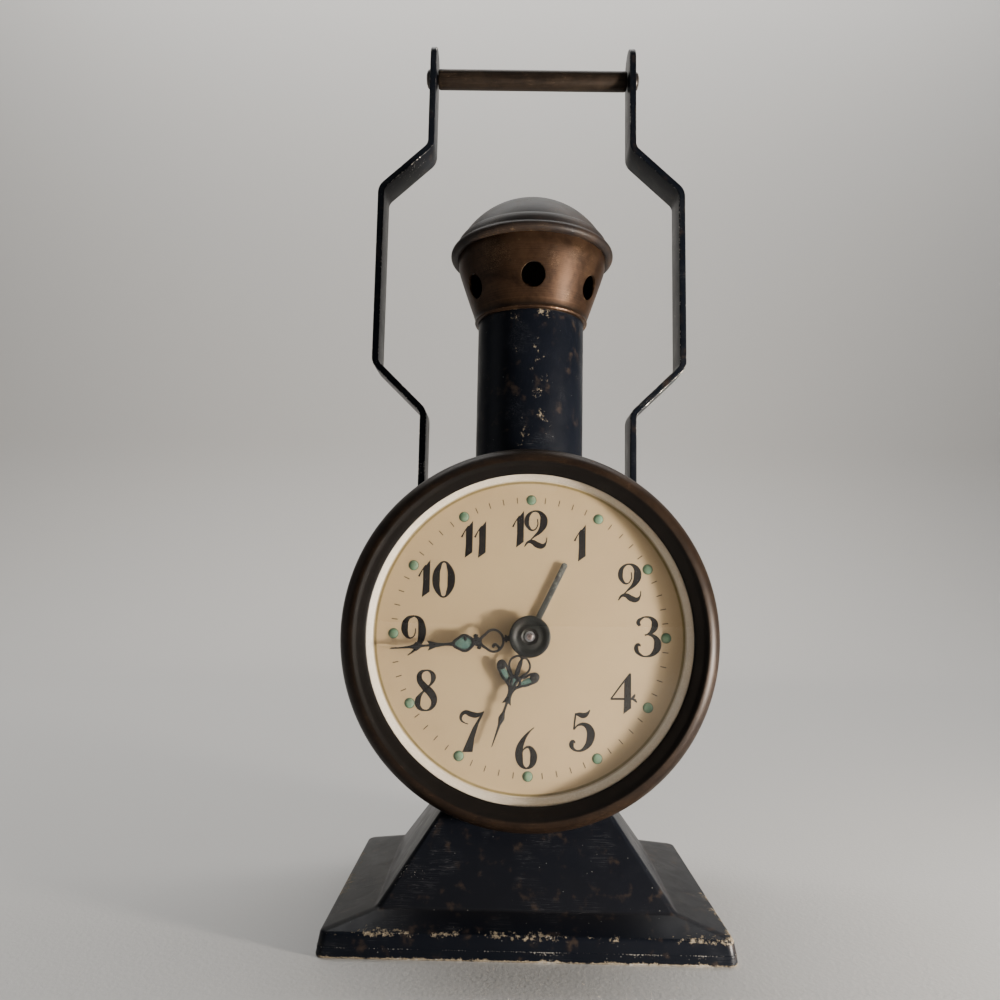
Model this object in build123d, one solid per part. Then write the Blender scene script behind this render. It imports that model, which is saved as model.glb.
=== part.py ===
from build123d import *
from math import asin, cos, degrees, hypot, radians, sin, sqrt
import os

# Railway-lantern alarm clock, in millimetres. +Z is up and the dial faces -Y.
# The sizes below are given about the middle of the base; finished pieces are then
# shifted along Y so that the origin lies under the middle of the whole clock.

# Base, a pressed steel shell
BASE_W = 93.0
BASE_D = 66.0
BASE_WALL = 0.8
BASE_CORNER = 2.2
RIM_H = 5.2
RIM_INSET = 0.8
LEDGE_RISE = 2.8
FOOT_W = 68.8
FOOT_D = 52.2
SIDE_SLOPE = 0.715
FRONT_SLOPE = 0.46
SADDLE_Z = 26.2
HEM_W = 1.6
HEM_H = 2.4

# Drum, rear cover and the way they sit on the base
DRUM_R = 43.5
DRUM_WALL = 0.6
DRUM_DEPTH = 54.4
DRUM_LIP = 3.0
DRUM_Z = SADDLE_Z + DRUM_R
DRUM_IN = DRUM_R - DRUM_WALL
COVER_T = 0.7
COVER_RECESS = 0.8
COVER_SKIRT = 2.4
COVER_GAP = 0.05
SOUND_HOLE_R = 1.3
SOUND_HOLE_CIRCLE = 33.0

# Dial, lens and bezel
DIAL_FACE = -23.3
DIAL_T = 0.4
DIAL_R = 41.5
DIAL_BORE = 2.9
DOT_R = 1.1
DOT_CIRCLE = 32.55
DOT_T = 0.15
BEZEL_R = 45.0
BEZEL_WALL = 0.7
BEZEL_OPEN_R = 38.5
BEZEL_CREST_R = 41.7
BEZEL_SKIRT = 4.4
BEZEL_FRONT = 5.3
BEZEL_DIP = 1.2
LENS_T = 1.0
LENS_RISE = 3.9
LENS_FLANGE_R = 41.2
RING_IN_R = 37.4

# Chimney and its cap
CHIMNEY_Y = 4.75
CHIMNEY_R = 15.0
CHIMNEY_WALL = 0.6
CONE_BOTTOM_Z = 155.5
CONE_H = 16.2
CONE_TOP_R = 21.0
CAP_WALL = 0.6
CONE_COLLAR = 2.5
VENT_R = 3.2
VENT_COUNT = 6
VENT_UP = 8.3
BEAD_UP = 20.0
BEAD_R = 1.35
SHOULDER_H = 4.1
SHOULDER_IN = 1.1
DOME_H = 12.2
TAB_W = 6.0
TAB_L = 3.5

# Carrying handle
STRAP_Y = 25.5
STRAP_W = 11.0
STRAP_T = 2.0
STRAP_NEAR_X = 32.0
STRAP_FAR_X = 47.3
STRAP_KNEE_LOW = 134.0
STRAP_ELBOW_LOW = 149.0
STRAP_ELBOW_HIGH = 205.6
STRAP_KNEE_HIGH = 219.9
STRAP_BEND_R = 4.0
STRAP_TIP_Z = 255.7
GRIP_Z = 245.6
GRIP_R = 3.1
GRIP_WALL = 0.7
ROD_R = 1.6
ROD_HEAD_R = 3.0
ROD_HEAD_H = 1.6
FOOT_ARC = 20.0
RIVET_R = 1.3
RIVET_HEAD_R = 2.4
RIVET_HEAD_H = 1.2

# Movement plates and pillars
PLATE_R = 37.0
PLATE_T = 1.0
MOTION_GAP = 5.9
PLATE_GAP = 24.0
PILLAR_R = 2.2
STUD_R = 1.5
PILLAR_CIRCLE = 33.5
PILLAR_ANGLES = (45.0, 150.0, 235.0, 305.0)
POST_ANGLES = (235.0, 305.0)
NUT_ACROSS = 5.5
NUT_H = 1.8
SCREW_R = 1.0
SCREW_HEAD_R = 1.9
SCREW_HEAD_H = 1.3
COVER_SCREW_L = 6.0
HOLDER_IN_R = 34.0
HOLDER_SCREW_CIRCLE = 35.5
HOLDER_SCREW_ANGLES = (90.0, 195.0, 345.0)
BOLT_R = 2.0
BOLT_HEAD_R = 3.5
BOLT_HEAD_H = 2.4
BOLT_NUT_ACROSS = 7.0
BOLT_NUT_H = 2.4
BOLT_SPACING = 18.0

# Clearances
RUN = 0.05
PIPE_RUN = 0.07
END_SHAKE = 0.3
FREE = 0.3
HOLE_SLACK = 0.15

# Arbors
ARBOR_R = 0.7
PIVOT_R = 0.5
CENTRE_R = 1.2
PIPE_WALL = 0.63
WINDER_R = 2.0
WINDER_PIVOT_R = 1.5
SETTER_R = 1.2

# Wheels: tooth counts and modules
TOOTH_TIP = 0.20
TOOTH_ROOT = 0.46
TOOTH_OUT = 0.80
TOOTH_IN = 1.20
WHEEL_T = 0.8
THIN_WHEEL_T = 0.6
PINION_EXTRA = 0.9
GREAT_TEETH = 54
GREAT_M = 0.6
GREAT_T = 1.2
CENTRE_LEAVES = 12
CENTRE_TEETH = 60
CENTRE_M = 0.4
THIRD_LEAVES = 8
THIRD_TEETH = 60
THIRD_M = 0.35
FOURTH_LEAVES = 8
FOURTH_TEETH = 54
FOURTH_M = 0.3
ESCAPE_LEAVES = 8
ESCAPE_TEETH = 15
ESCAPE_R = 6.0
ALARM_GREAT_TEETH = 50
ALARM_LEAVES = 12
ALARM_ESCAPE_TEETH = 15
ALARM_ESCAPE_R = 7.0
CANNON_LEAVES = 10
MINUTE_TEETH = 30
MINUTE_LEAVES = 8
HOUR_TEETH = 32
MOTION_M = 0.5
SETTER_LEAVES = 12
ALARM_SET_TEETH = 48

# Directions from one arbor to the next, degrees anticlockwise from +X seen from the front
TIME_GREAT_DIR = 200.0
ALARM_GREAT_DIR = 340.0
THIRD_DIR = 135.0
FOURTH_DIR = 60.0
ESCAPE_DIR = 20.0
ALARM_ESCAPE_DIR = 80.0
MINUTE_DIR = 90.0
SETTER_DIR = 270.0

# Springs and winding
RATCHET_R = 6.0
RATCHET_TEETH = 16
RATCHET_T = 1.0
MAINSPRING_W = 10.0
MAINSPRING_T = 0.4
MAINSPRING_R = 14.0
MAINSPRING_TURNS = 9
HAIRSPRING_T = 0.16
HAIRSPRING_W = 0.6
HAIRSPRING_R = 5.5
HAIRSPRING_TURNS = 8

# Balance, lever, hammer, bell, stop button and regulator
BALANCE_SPOT = (-6.5, 31.0)
BALANCE_R = 9.0
BALANCE_RIM = 1.2
BALANCE_T = 1.2
BALANCE_ARM_W = 1.1
COLLET_R = 1.3
ROLLER_R = 2.2
LEVER_SPOT = (7.2, 31.0)
LEFT_PALLET = (-4.5, -0.8)
RIGHT_PALLET = (4.3, -1.4)
PALLET_PIN_R = 0.35
HAMMER_SPOT = (30.5, 14.5)
HAMMER_ARM = 14.7
HAMMER_DIR = 134.4
HAMMER_HEAD_R = 2.0
BELL_SPOT = (5.0, 25.0)
BELL_R = 12.0
BELL_WALL = 0.8
BELL_H = 5.5
BELL_OFF_PLATE = 2.5
BUTTON_SPOT = (34.3, 8.5)
BUTTON_R = 1.5
BUTTON_KNOB_R = 3.2
BUTTON_KNOB_L = 3.0
BUTTON_TRAVEL = 3.0
BUTTON_GUIDE_L = 5.0
REGULATOR_DIR = 205.0
REGULATOR_SWING = 18.0
REGULATOR_ARM = 13.5
REGULATOR_BOSS_R = 2.0
REGULATOR_BOSS_H = 1.3

# Keys and knobs behind the cover
KEY_W = 20.0
KEY_L = 11.0
KEY_T = 1.8
KEY_GRIP_L = 4.4
KEY_HUB_R = 2.8
KEY_STANDOFF = 2.0
KNOB_R = 5.2
KNOB_L = 5.0
KNOB_BORE_L = 3.0
KNOB_RIDGES = 24

# Hands, measured from the centre of the dial
HAND_T = 0.3
HAND_STEP = 0.85
ALARM_HAND_UP = 0.7
MINUTE_ANGLE = 264.0
HOUR_ANGLE = 198.4
ALARM_ANGLE = 25.8
MINUTE_TIP = 33.1
HOUR_TIP = 27.0
ALARM_TIP = 19.3
ALARM_HAND_W = 1.5
HUB_R = 4.9
HUB_T = 0.9
HUB_RECESS_R = 1.9

# Levels along Y, worked out from the dial backwards
DIAL_BACK = DIAL_FACE + DIAL_T
DRUM_REAR = DIAL_BACK + DRUM_DEPTH
PLATE_FRONT = DIAL_BACK + MOTION_GAP
PLATE_FRONT_IN = PLATE_FRONT + PLATE_T
PLATE_BACK_IN = PLATE_FRONT_IN + PLATE_GAP
PLATE_BACK = PLATE_BACK_IN + PLATE_T
COVER_OUT = DRUM_REAR - COVER_RECESS
COVER_IN = COVER_OUT - COVER_T
GREAT_Y = PLATE_FRONT_IN + 1.1
RATCHET_Y = GREAT_Y + GREAT_T + FREE
MAINSPRING_Y = RATCHET_Y + RATCHET_T + 0.8
CENTRE_Y = MAINSPRING_Y + MAINSPRING_W + 1.6
THIRD_Y = CENTRE_Y + 3.5
FOURTH_Y = CENTRE_Y - 4.0
ESCAPE_Y = CENTRE_Y - 8.4
BALANCE_Y = CENTRE_Y - 12.6
HAIRSPRING_Y = BALANCE_Y - 2.3
ALARM_ESCAPE_Y = CENTRE_Y + 2.0
ALARM_WHEEL_Y = DIAL_BACK + 0.7
HOUR_WHEEL_Y = ALARM_WHEEL_Y + 1.3
MINUTE_WHEEL_Y = HOUR_WHEEL_Y + 1.7
BELL_Y = PLATE_BACK + BELL_OFF_PLATE
KEY_Y = DRUM_REAR + KEY_STANDOFF
KEY_END = KEY_Y + KEY_L
SHIFT_Y = (KEY_END - BASE_D / 2) / 2

# Concentric pipes in the middle of the dial
HOUR_BORE = CENTRE_R + PIPE_RUN
HOUR_PIPE_R = HOUR_BORE + PIPE_WALL
ALARM_BORE = HOUR_PIPE_R + PIPE_RUN
ALARM_PIPE_R = ALARM_BORE + PIPE_WALL
ALARM_HAND_Y = DIAL_FACE - ALARM_HAND_UP - HAND_T
HOUR_HAND_Y = ALARM_HAND_Y - HAND_STEP
MINUTE_HAND_Y = HOUR_HAND_Y - HAND_STEP

# The chimney cap
CONE_TOP_Z = CONE_BOTTOM_Z + CONE_H
BEAD_Z = CONE_BOTTOM_Z + BEAD_UP
BEAD_CENTRE_R = CONE_TOP_R + CAP_WALL / 2 + BEAD_R / 2


# Placing on the drum's axis

def polar(distance, angle, start=(0.0, 0.0)):
    """The spot at a distance and angle from another, in the dial's plane."""
    return (start[0] + distance * cos(radians(angle)), start[1] + distance * sin(radians(angle)))


def centres(module, teeth_a, teeth_b):
    """Centre distance of two meshed wheels."""
    return module * (teeth_a + teeth_b) / 2


TIME_SPOT = polar(centres(GREAT_M, GREAT_TEETH, CENTRE_LEAVES), TIME_GREAT_DIR)
ALARM_SPOT = polar(centres(GREAT_M, GREAT_TEETH, CENTRE_LEAVES), ALARM_GREAT_DIR)
THIRD_SPOT = polar(centres(CENTRE_M, CENTRE_TEETH, THIRD_LEAVES), THIRD_DIR)
FOURTH_SPOT = polar(centres(THIRD_M, THIRD_TEETH, FOURTH_LEAVES), FOURTH_DIR, THIRD_SPOT)
ESCAPE_SPOT = polar(centres(FOURTH_M, FOURTH_TEETH, ESCAPE_LEAVES), ESCAPE_DIR, FOURTH_SPOT)
ALARM_ESCAPE_SPOT = polar(centres(GREAT_M, ALARM_GREAT_TEETH, ALARM_LEAVES), ALARM_ESCAPE_DIR, ALARM_SPOT)
MINUTE_SPOT = polar(centres(MOTION_M, CANNON_LEAVES, MINUTE_TEETH), MINUTE_DIR)
SETTER_SPOT = polar(centres(MOTION_M, SETTER_LEAVES, ALARM_SET_TEETH), SETTER_DIR)
HAMMER_HEAD_SPOT = polar(HAMMER_ARM, HAMMER_DIR, HAMMER_SPOT)


def slab(face, y0, y1, spot=(0.0, 0.0)):
    """A flat piece between two levels; the face is drawn as seen from the front."""
    plane = Plane(origin=(spot[0], y1, DRUM_Z + spot[1]), x_dir=(1, 0, 0), z_dir=(0, -1, 0))
    return extrude(plane * face, y1 - y0, dir=(0, -1, 0))


def rod(radius, y0, y1, spot=(0.0, 0.0), bore=0.0):
    """A round bar or tube along Y."""
    face = Circle(radius)
    if bore:
        face -= Circle(bore)
    return slab(face, y0, y1, spot)


def turned(profile, spot=(0.0, 0.0)):
    """Turns a closed outline of (radius, y) points about a line along Y."""
    plane = Plane(origin=(spot[0], 0, DRUM_Z + spot[1]), x_dir=(1, 0, 0), z_dir=(0, 0, 1))
    axis = Axis((spot[0], 0, DRUM_Z + spot[1]), (0, 1, 0))
    return revolve(plane * profile, axis)


def upright(profile):
    """Turns a closed outline of (radius, z) points about the chimney's axis."""
    plane = Plane(origin=(0, CHIMNEY_Y, 0), x_dir=(1, 0, 0), z_dir=(0, -1, 0))
    return revolve(plane * profile, Axis((0, CHIMNEY_Y, 0), (0, 0, 1)))


def outline(*points):
    """A closed face through points."""
    return Polygon(*points, align=None)


def moved(face, along, across=0.0, turn=0.0):
    """A face shifted and turned within its own plane."""
    return Pos(along, across) * Rot(0, 0, turn) * face


def cap_arc(rim_r, rim_level, top_level):
    """Middle point of a round cap's arc, from its rim to its top on the axis."""
    rise = top_level - rim_level
    ball = (rim_r ** 2 + rise ** 2) / (2 * abs(rise))
    half = asin(min(1.0, rim_r / ball)) / 2
    return (ball * sin(half), top_level - ball * (1 - cos(half)) * (1 if rise > 0 else -1))


# Toothed wheels

def toothed(teeth, module, phase=0.0):
    """A wheel outline with straight-sided teeth and one tooth at the phase angle."""
    root = module * (teeth / 2 - TOOTH_IN)
    tip = module * (teeth / 2 + TOOTH_OUT)
    corners = ((root, -TOOTH_ROOT), (tip, -TOOTH_TIP), (tip, TOOTH_TIP), (root, TOOTH_ROOT))
    points = []
    for number in range(teeth):
        middle = phase + 360 * number / teeth
        points += [polar(radius, middle + share * 180 / teeth) for radius, share in corners]
    return outline(*points)


def meshed(phase, teeth, direction, other_teeth):
    """The phase of the wheel that meshes in a given direction."""
    share = (direction - phase) * teeth / 360
    return direction + 180 - (0.5 - share) * 360 / other_teeth


def saw_toothed(teeth, radius, depth):
    """A ratchet or escape wheel outline, steep on one side."""
    points = []
    for number in range(teeth):
        start = 360 * number / teeth
        points += [polar(radius, start), polar(radius - depth, start + 60 / teeth)]
    return outline(*points)


def windows(radius, size, count=5):
    """Round lightening holes on a circle."""
    return PolarLocations(radius, count) * Circle(size)


def wheel_face(teeth, module, phase=0.0):
    """A toothed wheel with five windows."""
    pitch = module * teeth / 2
    return toothed(teeth, module, phase) - windows(pitch * 0.58, pitch * 0.24)


def arbor(spot, radius=ARBOR_R, pivot=PIVOT_R):
    """A shaft between the plates with a pivot through each."""
    body = rod(radius, PLATE_FRONT_IN + END_SHAKE, PLATE_BACK_IN - END_SHAKE, spot)
    return body + rod(pivot, PLATE_FRONT, PLATE_BACK, spot)


def pinion(leaves, module, phase, wheel_y, spot):
    """A pinion a little longer than the wheel that drives it."""
    face = toothed(leaves, module, phase)
    return slab(face, wheel_y - PINION_EXTRA / 2, wheel_y + WHEEL_T + PINION_EXTRA / 2, spot)


def spiral(inner_r, outer_r, turns, thickness):
    """A flat coiled strip as a face."""
    steps = 8 * turns
    inner = []
    outer = []
    for step in range(steps + 1):
        radius = inner_r + (outer_r - inner_r) * step / steps
        inner.append(polar(radius, 45.0 * step))
        outer.append(polar(radius + thickness, 45.0 * step))
    edges = Spline(*inner) + Line(inner[-1], outer[-1]) + Spline(*outer[::-1]) + Line(outer[0], inner[0])
    return make_face(edges)


def hexagon(across, bore):
    """A nut's face."""
    return RegularPolygon(across / 2, 6, major_radius=False) - Circle(bore)


# Base

def base_solid(inset, drop, saddle_r):
    """The base's stepped pyramid up to the drum, drawn in by the wall."""
    top = SADDLE_Z + 9.0
    foot_z = RIM_H + LEDGE_RISE
    climb = top - foot_z
    levels = (
        (BASE_W, BASE_D, 0.0 if inset == 0 else -1.0),
        (BASE_W - 2 * RIM_INSET, BASE_D - 2 * RIM_INSET, RIM_H - drop),
        (FOOT_W, FOOT_D, foot_z - drop),
        (FOOT_W - 2 * SIDE_SLOPE * climb, FOOT_D - 2 * FRONT_SLOPE * climb, top),
    )
    sections = [
        Pos(0, 0, z) * RectangleRounded(w - 2 * inset, d - 2 * inset, BASE_CORNER) for w, d, z in levels
    ]
    blocks = [loft([low, high], ruled=True) for low, high in zip(sections, sections[1:])]
    body = blocks[0]
    for block in blocks[1:]:
        body += block
    return body - rod(saddle_r, -BASE_D, BASE_D)


def base_shell():
    shell = base_solid(0, 0, DRUM_R) - base_solid(BASE_WALL, BASE_WALL, DRUM_R + BASE_WALL)
    rim = RectangleRounded(BASE_W - 2 * RIM_INSET, BASE_D - 2 * RIM_INSET, BASE_CORNER)
    hem = rim - RectangleRounded(BASE_W - 2 * RIM_INSET - 2 * HEM_W, BASE_D - 2 * RIM_INSET - 2 * HEM_W, 1.0)
    shell += extrude(hem, HEM_H)
    for y in bolt_rows():
        shell -= Pos(0, y, SADDLE_Z) * Cylinder(BOLT_R + HOLE_SLACK, 6)
    return shell


def bolt_rows():
    """Y of the two bolts under the drum."""
    return (-BOLT_SPACING / 2, BOLT_SPACING / 2)


def base_bolts():
    head_top = SADDLE_Z - BASE_WALL
    nut_z = bolt_nut_z()
    bolts = []
    for y in bolt_rows():
        head = Pos(0, y, head_top - BOLT_HEAD_H / 2) * Cylinder(BOLT_HEAD_R, BOLT_HEAD_H)
        shank_h = nut_z + BOLT_NUT_H + 0.6 - head_top
        shank = Pos(0, y, head_top + shank_h / 2) * Cylinder(BOLT_R, shank_h)
        slot = Pos(0, y, head_top - BOLT_HEAD_H) * Box(BOLT_HEAD_R * 3, 1.0, 1.6)
        bolts.append(head + shank - slot)
    return group(bolts)


def bolt_nut_z():
    """Height at which a flat nut rests inside the drum's curve."""
    half = BOLT_NUT_ACROSS / sqrt(3)
    return DRUM_Z - sqrt(DRUM_IN ** 2 - half ** 2)


def base_nuts():
    face = hexagon(BOLT_NUT_ACROSS, BOLT_R)
    return group([Pos(0, y, bolt_nut_z()) * extrude(face, BOLT_NUT_H) for y in bolt_rows()])


def group(pieces):
    """Separate solids kept together as one node."""
    return Compound(children=[solid for piece in pieces for solid in piece.solids()])


# Drum and rear cover

def drum_case():
    drum = rod(DRUM_R, DIAL_BACK, DRUM_REAR, bore=DRUM_IN)
    drum += rod(DRUM_R, DIAL_BACK, DIAL_BACK + DRUM_WALL, bore=DRUM_R - DRUM_LIP)
    for y in bolt_rows():
        drum -= Pos(0, y, DRUM_Z - DRUM_R) * Cylinder(BOLT_R + HOLE_SLACK, 6)
    for y in tab_rows():
        slot = Box(TAB_W + 2 * HOLE_SLACK, CHIMNEY_WALL + 2 * HOLE_SLACK, 8)
        drum -= Pos(0, y, DRUM_Z + DRUM_R) * slot
    for rivet in rivet_places():
        drum -= rivet * Cylinder(RIVET_R, 8)
    return drum


def rivet_angles():
    """Degrees from upright of the two rivets through each handle foot."""
    first = foot_start()
    return (first + FOOT_ARC * 0.40, first + FOOT_ARC * 0.78)


def foot_start():
    """Degrees from upright at which the strap's inner face meets the drum."""
    return degrees(asin((STRAP_NEAR_X - STRAP_T / 2) / DRUM_R))


def rivet_places():
    """Frames on the drum's skin, each with Z pointing out."""
    places = []
    for side in (-1, 1):
        for angle in rivet_angles():
            x = side * DRUM_R * sin(radians(angle))
            z = DRUM_Z + DRUM_R * cos(radians(angle))
            places.append(Pos(x, STRAP_Y, z) * Rot(0, side * angle, 0))
    return places


def post_spots():
    return [polar(PILLAR_CIRCLE, angle) for angle in POST_ANGLES]


def regulator_slot():
    """The curved slot that the regulator's finger stands through."""
    cuts = None
    steps = 6
    for step in range(steps + 1):
        angle = REGULATOR_DIR - REGULATOR_SWING + 2 * REGULATOR_SWING * step / steps
        hole = rod(1.4, COVER_IN - 1, COVER_OUT + 1, polar(REGULATOR_ARM, angle, BALANCE_SPOT))
        cuts = hole if cuts is None else cuts + hole
    return cuts


def rear_cover():
    radius = DRUM_IN - COVER_GAP
    cover = rod(radius, COVER_IN, COVER_OUT)
    cover += rod(radius, COVER_OUT - COVER_SKIRT, COVER_OUT, bore=radius - COVER_T)
    cover += rod(BUTTON_R + 1.1, COVER_IN - BUTTON_GUIDE_L, COVER_IN, BUTTON_SPOT)
    holes = [
        (TIME_SPOT, WINDER_R + 0.8),
        (ALARM_SPOT, WINDER_R + 0.8),
        ((0.0, 0.0), CENTRE_R + 0.8),
        (SETTER_SPOT, SETTER_R + 0.8),
        (BUTTON_SPOT, BUTTON_R + RUN),
    ]
    holes += [(spot, SCREW_R + HOLE_SLACK) for spot in post_spots()]
    holes += [(polar(SOUND_HOLE_CIRCLE, angle), SOUND_HOLE_R) for angle in range(68, 113, 9)]
    for spot, radius in holes:
        cover -= rod(radius, COVER_IN - 8, COVER_OUT + 2, spot)
    return cover - regulator_slot()


def rear_cover_screws():
    return group([screw(spot, COVER_OUT, COVER_SCREW_L, 1) for spot in post_spots()])


def screw(spot, seat_y, length, side):
    """A slotted screw; side is +1 for a head that faces the rear and -1 for the front."""
    far = seat_y + side * SCREW_HEAD_H
    tip = seat_y - side * length
    body = rod(SCREW_HEAD_R, min(seat_y, far), max(seat_y, far), spot)
    body += rod(SCREW_R, min(seat_y, tip), max(seat_y, tip), spot)
    cut = slab(Rectangle(SCREW_HEAD_R * 3, 0.5), far - 0.5, far + 0.5, spot)
    return body - cut


# Bezel, lens and dial

def bezel_wave(inset):
    """Points of the bezel's section from the skirt round to the opening."""
    skirt_r = DRUM_R + BEZEL_WALL
    crest_y = DIAL_FACE - BEZEL_FRONT
    return {
        "skirt": (skirt_r - inset, DIAL_BACK + BEZEL_SKIRT),
        "waist": (skirt_r - inset, DIAL_BACK + 1.2),
        "widest": (BEZEL_R - inset, DIAL_BACK - 1.6),
        "bulge": (BEZEL_R - inset * 0.8 - 0.75, crest_y + 1.5 + inset * 0.7),
        "crest": (BEZEL_CREST_R, crest_y + inset),
        "edge": (BEZEL_OPEN_R, crest_y + BEZEL_DIP + inset),
    }


def bezel():
    outer = bezel_wave(0)
    inner = bezel_wave(BEZEL_WALL)
    edges = Line(outer["skirt"], outer["waist"]) + Line(outer["waist"], outer["widest"])
    edges += ThreePointArc(outer["widest"], outer["bulge"], outer["crest"])
    edges += Line(outer["crest"], outer["edge"]) + Line(outer["edge"], inner["edge"])
    edges += Line(inner["edge"], inner["crest"])
    edges += ThreePointArc(inner["crest"], inner["bulge"], inner["widest"])
    edges += Line(inner["widest"], inner["waist"]) + Line(inner["waist"], inner["skirt"])
    edges += Line(inner["skirt"], outer["skirt"])
    return turned(make_face(edges))


def lens_seat_y():
    """Back of the bezel's lip, where the lens flange bears."""
    return bezel_wave(BEZEL_WALL)["edge"][1]


def lens():
    flange_front = lens_seat_y() + 0.05
    flange_back = flange_front + LENS_T
    dome_r = BEZEL_OPEN_R - FREE
    front_top = flange_front - LENS_RISE
    back_top = front_top + LENS_T
    middle_front = cap_arc(dome_r, flange_front, front_top)
    middle_back = cap_arc(dome_r - LENS_T, flange_back, back_top)
    edges = ThreePointArc((0, front_top), middle_front, (dome_r, flange_front))
    edges += Line((dome_r, flange_front), (LENS_FLANGE_R, flange_front))
    edges += Line((LENS_FLANGE_R, flange_front), (LENS_FLANGE_R, flange_back))
    edges += Line((LENS_FLANGE_R, flange_back), (dome_r - LENS_T, flange_back))
    edges += ThreePointArc((dome_r - LENS_T, flange_back), middle_back, (0, back_top))
    edges += Line((0, back_top), (0, front_top))
    return turned(make_face(edges))


def dial_ring():
    """The pale ring that presses the lens forward from the dial."""
    top = lens_seat_y() + 0.05 + LENS_T
    return turned(outline(
        (RING_IN_R, DIAL_FACE), (RING_IN_R + 1.3, top), (LENS_FLANGE_R, top), (LENS_FLANGE_R, DIAL_FACE)))


def dial_plate():
    """The dial with three feet that stand on the movement holder."""
    dial = rod(DIAL_R, DIAL_FACE, DIAL_BACK, bore=DIAL_BORE)
    for angle in (30.0, 150.0, 270.0):
        dial += rod(1.1, DIAL_BACK, PLATE_FRONT - PLATE_T, polar(HOLDER_IN_R + 2.0, angle))
    return dial


def dial_lume_dots():
    spots = [polar(DOT_CIRCLE, 30.0 * hour) for hour in range(12)]
    return group([rod(DOT_R, DIAL_FACE - DOT_T, DIAL_FACE, spot) for spot in spots])


# Chimney

def tab_rows():
    """Y of the chimney's front and rear tabs."""
    reach = CHIMNEY_R - CHIMNEY_WALL / 2
    return (CHIMNEY_Y - reach, CHIMNEY_Y + reach)


def chimney_tube():
    low = DRUM_Z + sqrt(DRUM_R ** 2 - CHIMNEY_R ** 2) - 1.0
    height = CONE_BOTTOM_Z + CONE_COLLAR - low
    ring = extrude(Circle(CHIMNEY_R) - Circle(CHIMNEY_R - CHIMNEY_WALL), height)
    tube = Pos(0, CHIMNEY_Y, low) * ring - rod(DRUM_R, -BASE_D, BASE_D)
    sag = DRUM_IN - sqrt(DRUM_IN ** 2 - (TAB_W / 2) ** 2)
    fold_top = DRUM_Z + DRUM_IN - sag
    fold_z = fold_top - CHIMNEY_WALL / 2
    stem_h = DRUM_Z + DRUM_R + 1.0 - (fold_top - CHIMNEY_WALL)
    for y, inward in zip(tab_rows(), (1, -1)):
        stem = Pos(0, y, fold_top - CHIMNEY_WALL + stem_h / 2) * Box(TAB_W, CHIMNEY_WALL, stem_h)
        fold = Pos(0, y + inward * TAB_L / 2, fold_z) * Box(TAB_W, TAB_L + CHIMNEY_WALL, CHIMNEY_WALL)
        tube += stem + fold
    return tube


def chimney_cone():
    """The flared brass cone with a ring of vent holes."""
    low = CONE_BOTTOM_Z
    collar_in = CHIMNEY_R
    collar_out = CHIMNEY_R + CAP_WALL
    lip_top = BEAD_Z + 1.5
    mid_out = ((collar_out + CONE_TOP_R) / 2 + 0.35, low + 1.2 + CONE_H * 0.45)
    mid_in = (mid_out[0] - CAP_WALL, mid_out[1] + 0.1)
    edges = Line((collar_in, low), (collar_out + 0.3, low))
    edges += Line((collar_out + 0.3, low), (collar_out, low + 1.0))
    edges += ThreePointArc((collar_out, low + 1.0), mid_out, (CONE_TOP_R, CONE_TOP_Z))
    edges += Line((CONE_TOP_R, CONE_TOP_Z), (CONE_TOP_R, lip_top))
    edges += Line((CONE_TOP_R, lip_top), (CONE_TOP_R - CAP_WALL, lip_top))
    edges += Line((CONE_TOP_R - CAP_WALL, lip_top), (CONE_TOP_R - CAP_WALL, CONE_TOP_Z))
    edges += ThreePointArc((CONE_TOP_R - CAP_WALL, CONE_TOP_Z), mid_in, (collar_in, low + CONE_COLLAR))
    edges += Line((collar_in, low + CONE_COLLAR), (collar_in, low))
    cone = upright(make_face(edges))
    for number in range(VENT_COUNT):
        turn = Rot(0, 0, 360 * number / VENT_COUNT)
        bore = turn * Pos(0, -CONE_TOP_R, 0) * Rot(90, 0, 0) * Cylinder(VENT_R, 2 * CONE_TOP_R - 10)
        cone -= Pos(0, CHIMNEY_Y, low + VENT_UP) * bore
    return cone


def chimney_dome():
    """The domed top whose rolled lip grips the cone."""
    lip_in = CONE_TOP_R
    shoulder_r = BEAD_CENTRE_R - SHOULDER_IN
    shoulder_z = BEAD_Z + SHOULDER_H
    rim_r = shoulder_r - 0.6
    rim_z = shoulder_z + 0.7
    top_z = shoulder_z + DOME_H
    mid_out = cap_arc(rim_r, rim_z, top_z)
    mid_in = cap_arc(rim_r - CAP_WALL, rim_z, top_z - CAP_WALL)
    bead_low = (lip_in, BEAD_Z - BEAD_R)
    bead_out = (BEAD_CENTRE_R + BEAD_R, BEAD_Z)
    bead_top = (BEAD_CENTRE_R + 0.3, BEAD_Z + BEAD_R)
    edges = ThreePointArc(bead_low, bead_out, bead_top)
    edges += Line(bead_top, (shoulder_r, shoulder_z)) + Line((shoulder_r, shoulder_z), (rim_r, rim_z))
    edges += ThreePointArc((rim_r, rim_z), mid_out, (0, top_z))
    edges += Line((0, top_z), (0, top_z - CAP_WALL))
    edges += ThreePointArc((0, top_z - CAP_WALL), mid_in, (rim_r - CAP_WALL, rim_z))
    edges += Line((rim_r - CAP_WALL, rim_z), (lip_in - CAP_WALL - 0.4, BEAD_Z + 1.5))
    edges += Line((lip_in - CAP_WALL - 0.4, BEAD_Z + 1.5), (lip_in, BEAD_Z + 1.5))
    edges += Line((lip_in, BEAD_Z + 1.5), bead_low)
    return upright(make_face(edges))


# Carrying handle

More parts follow.
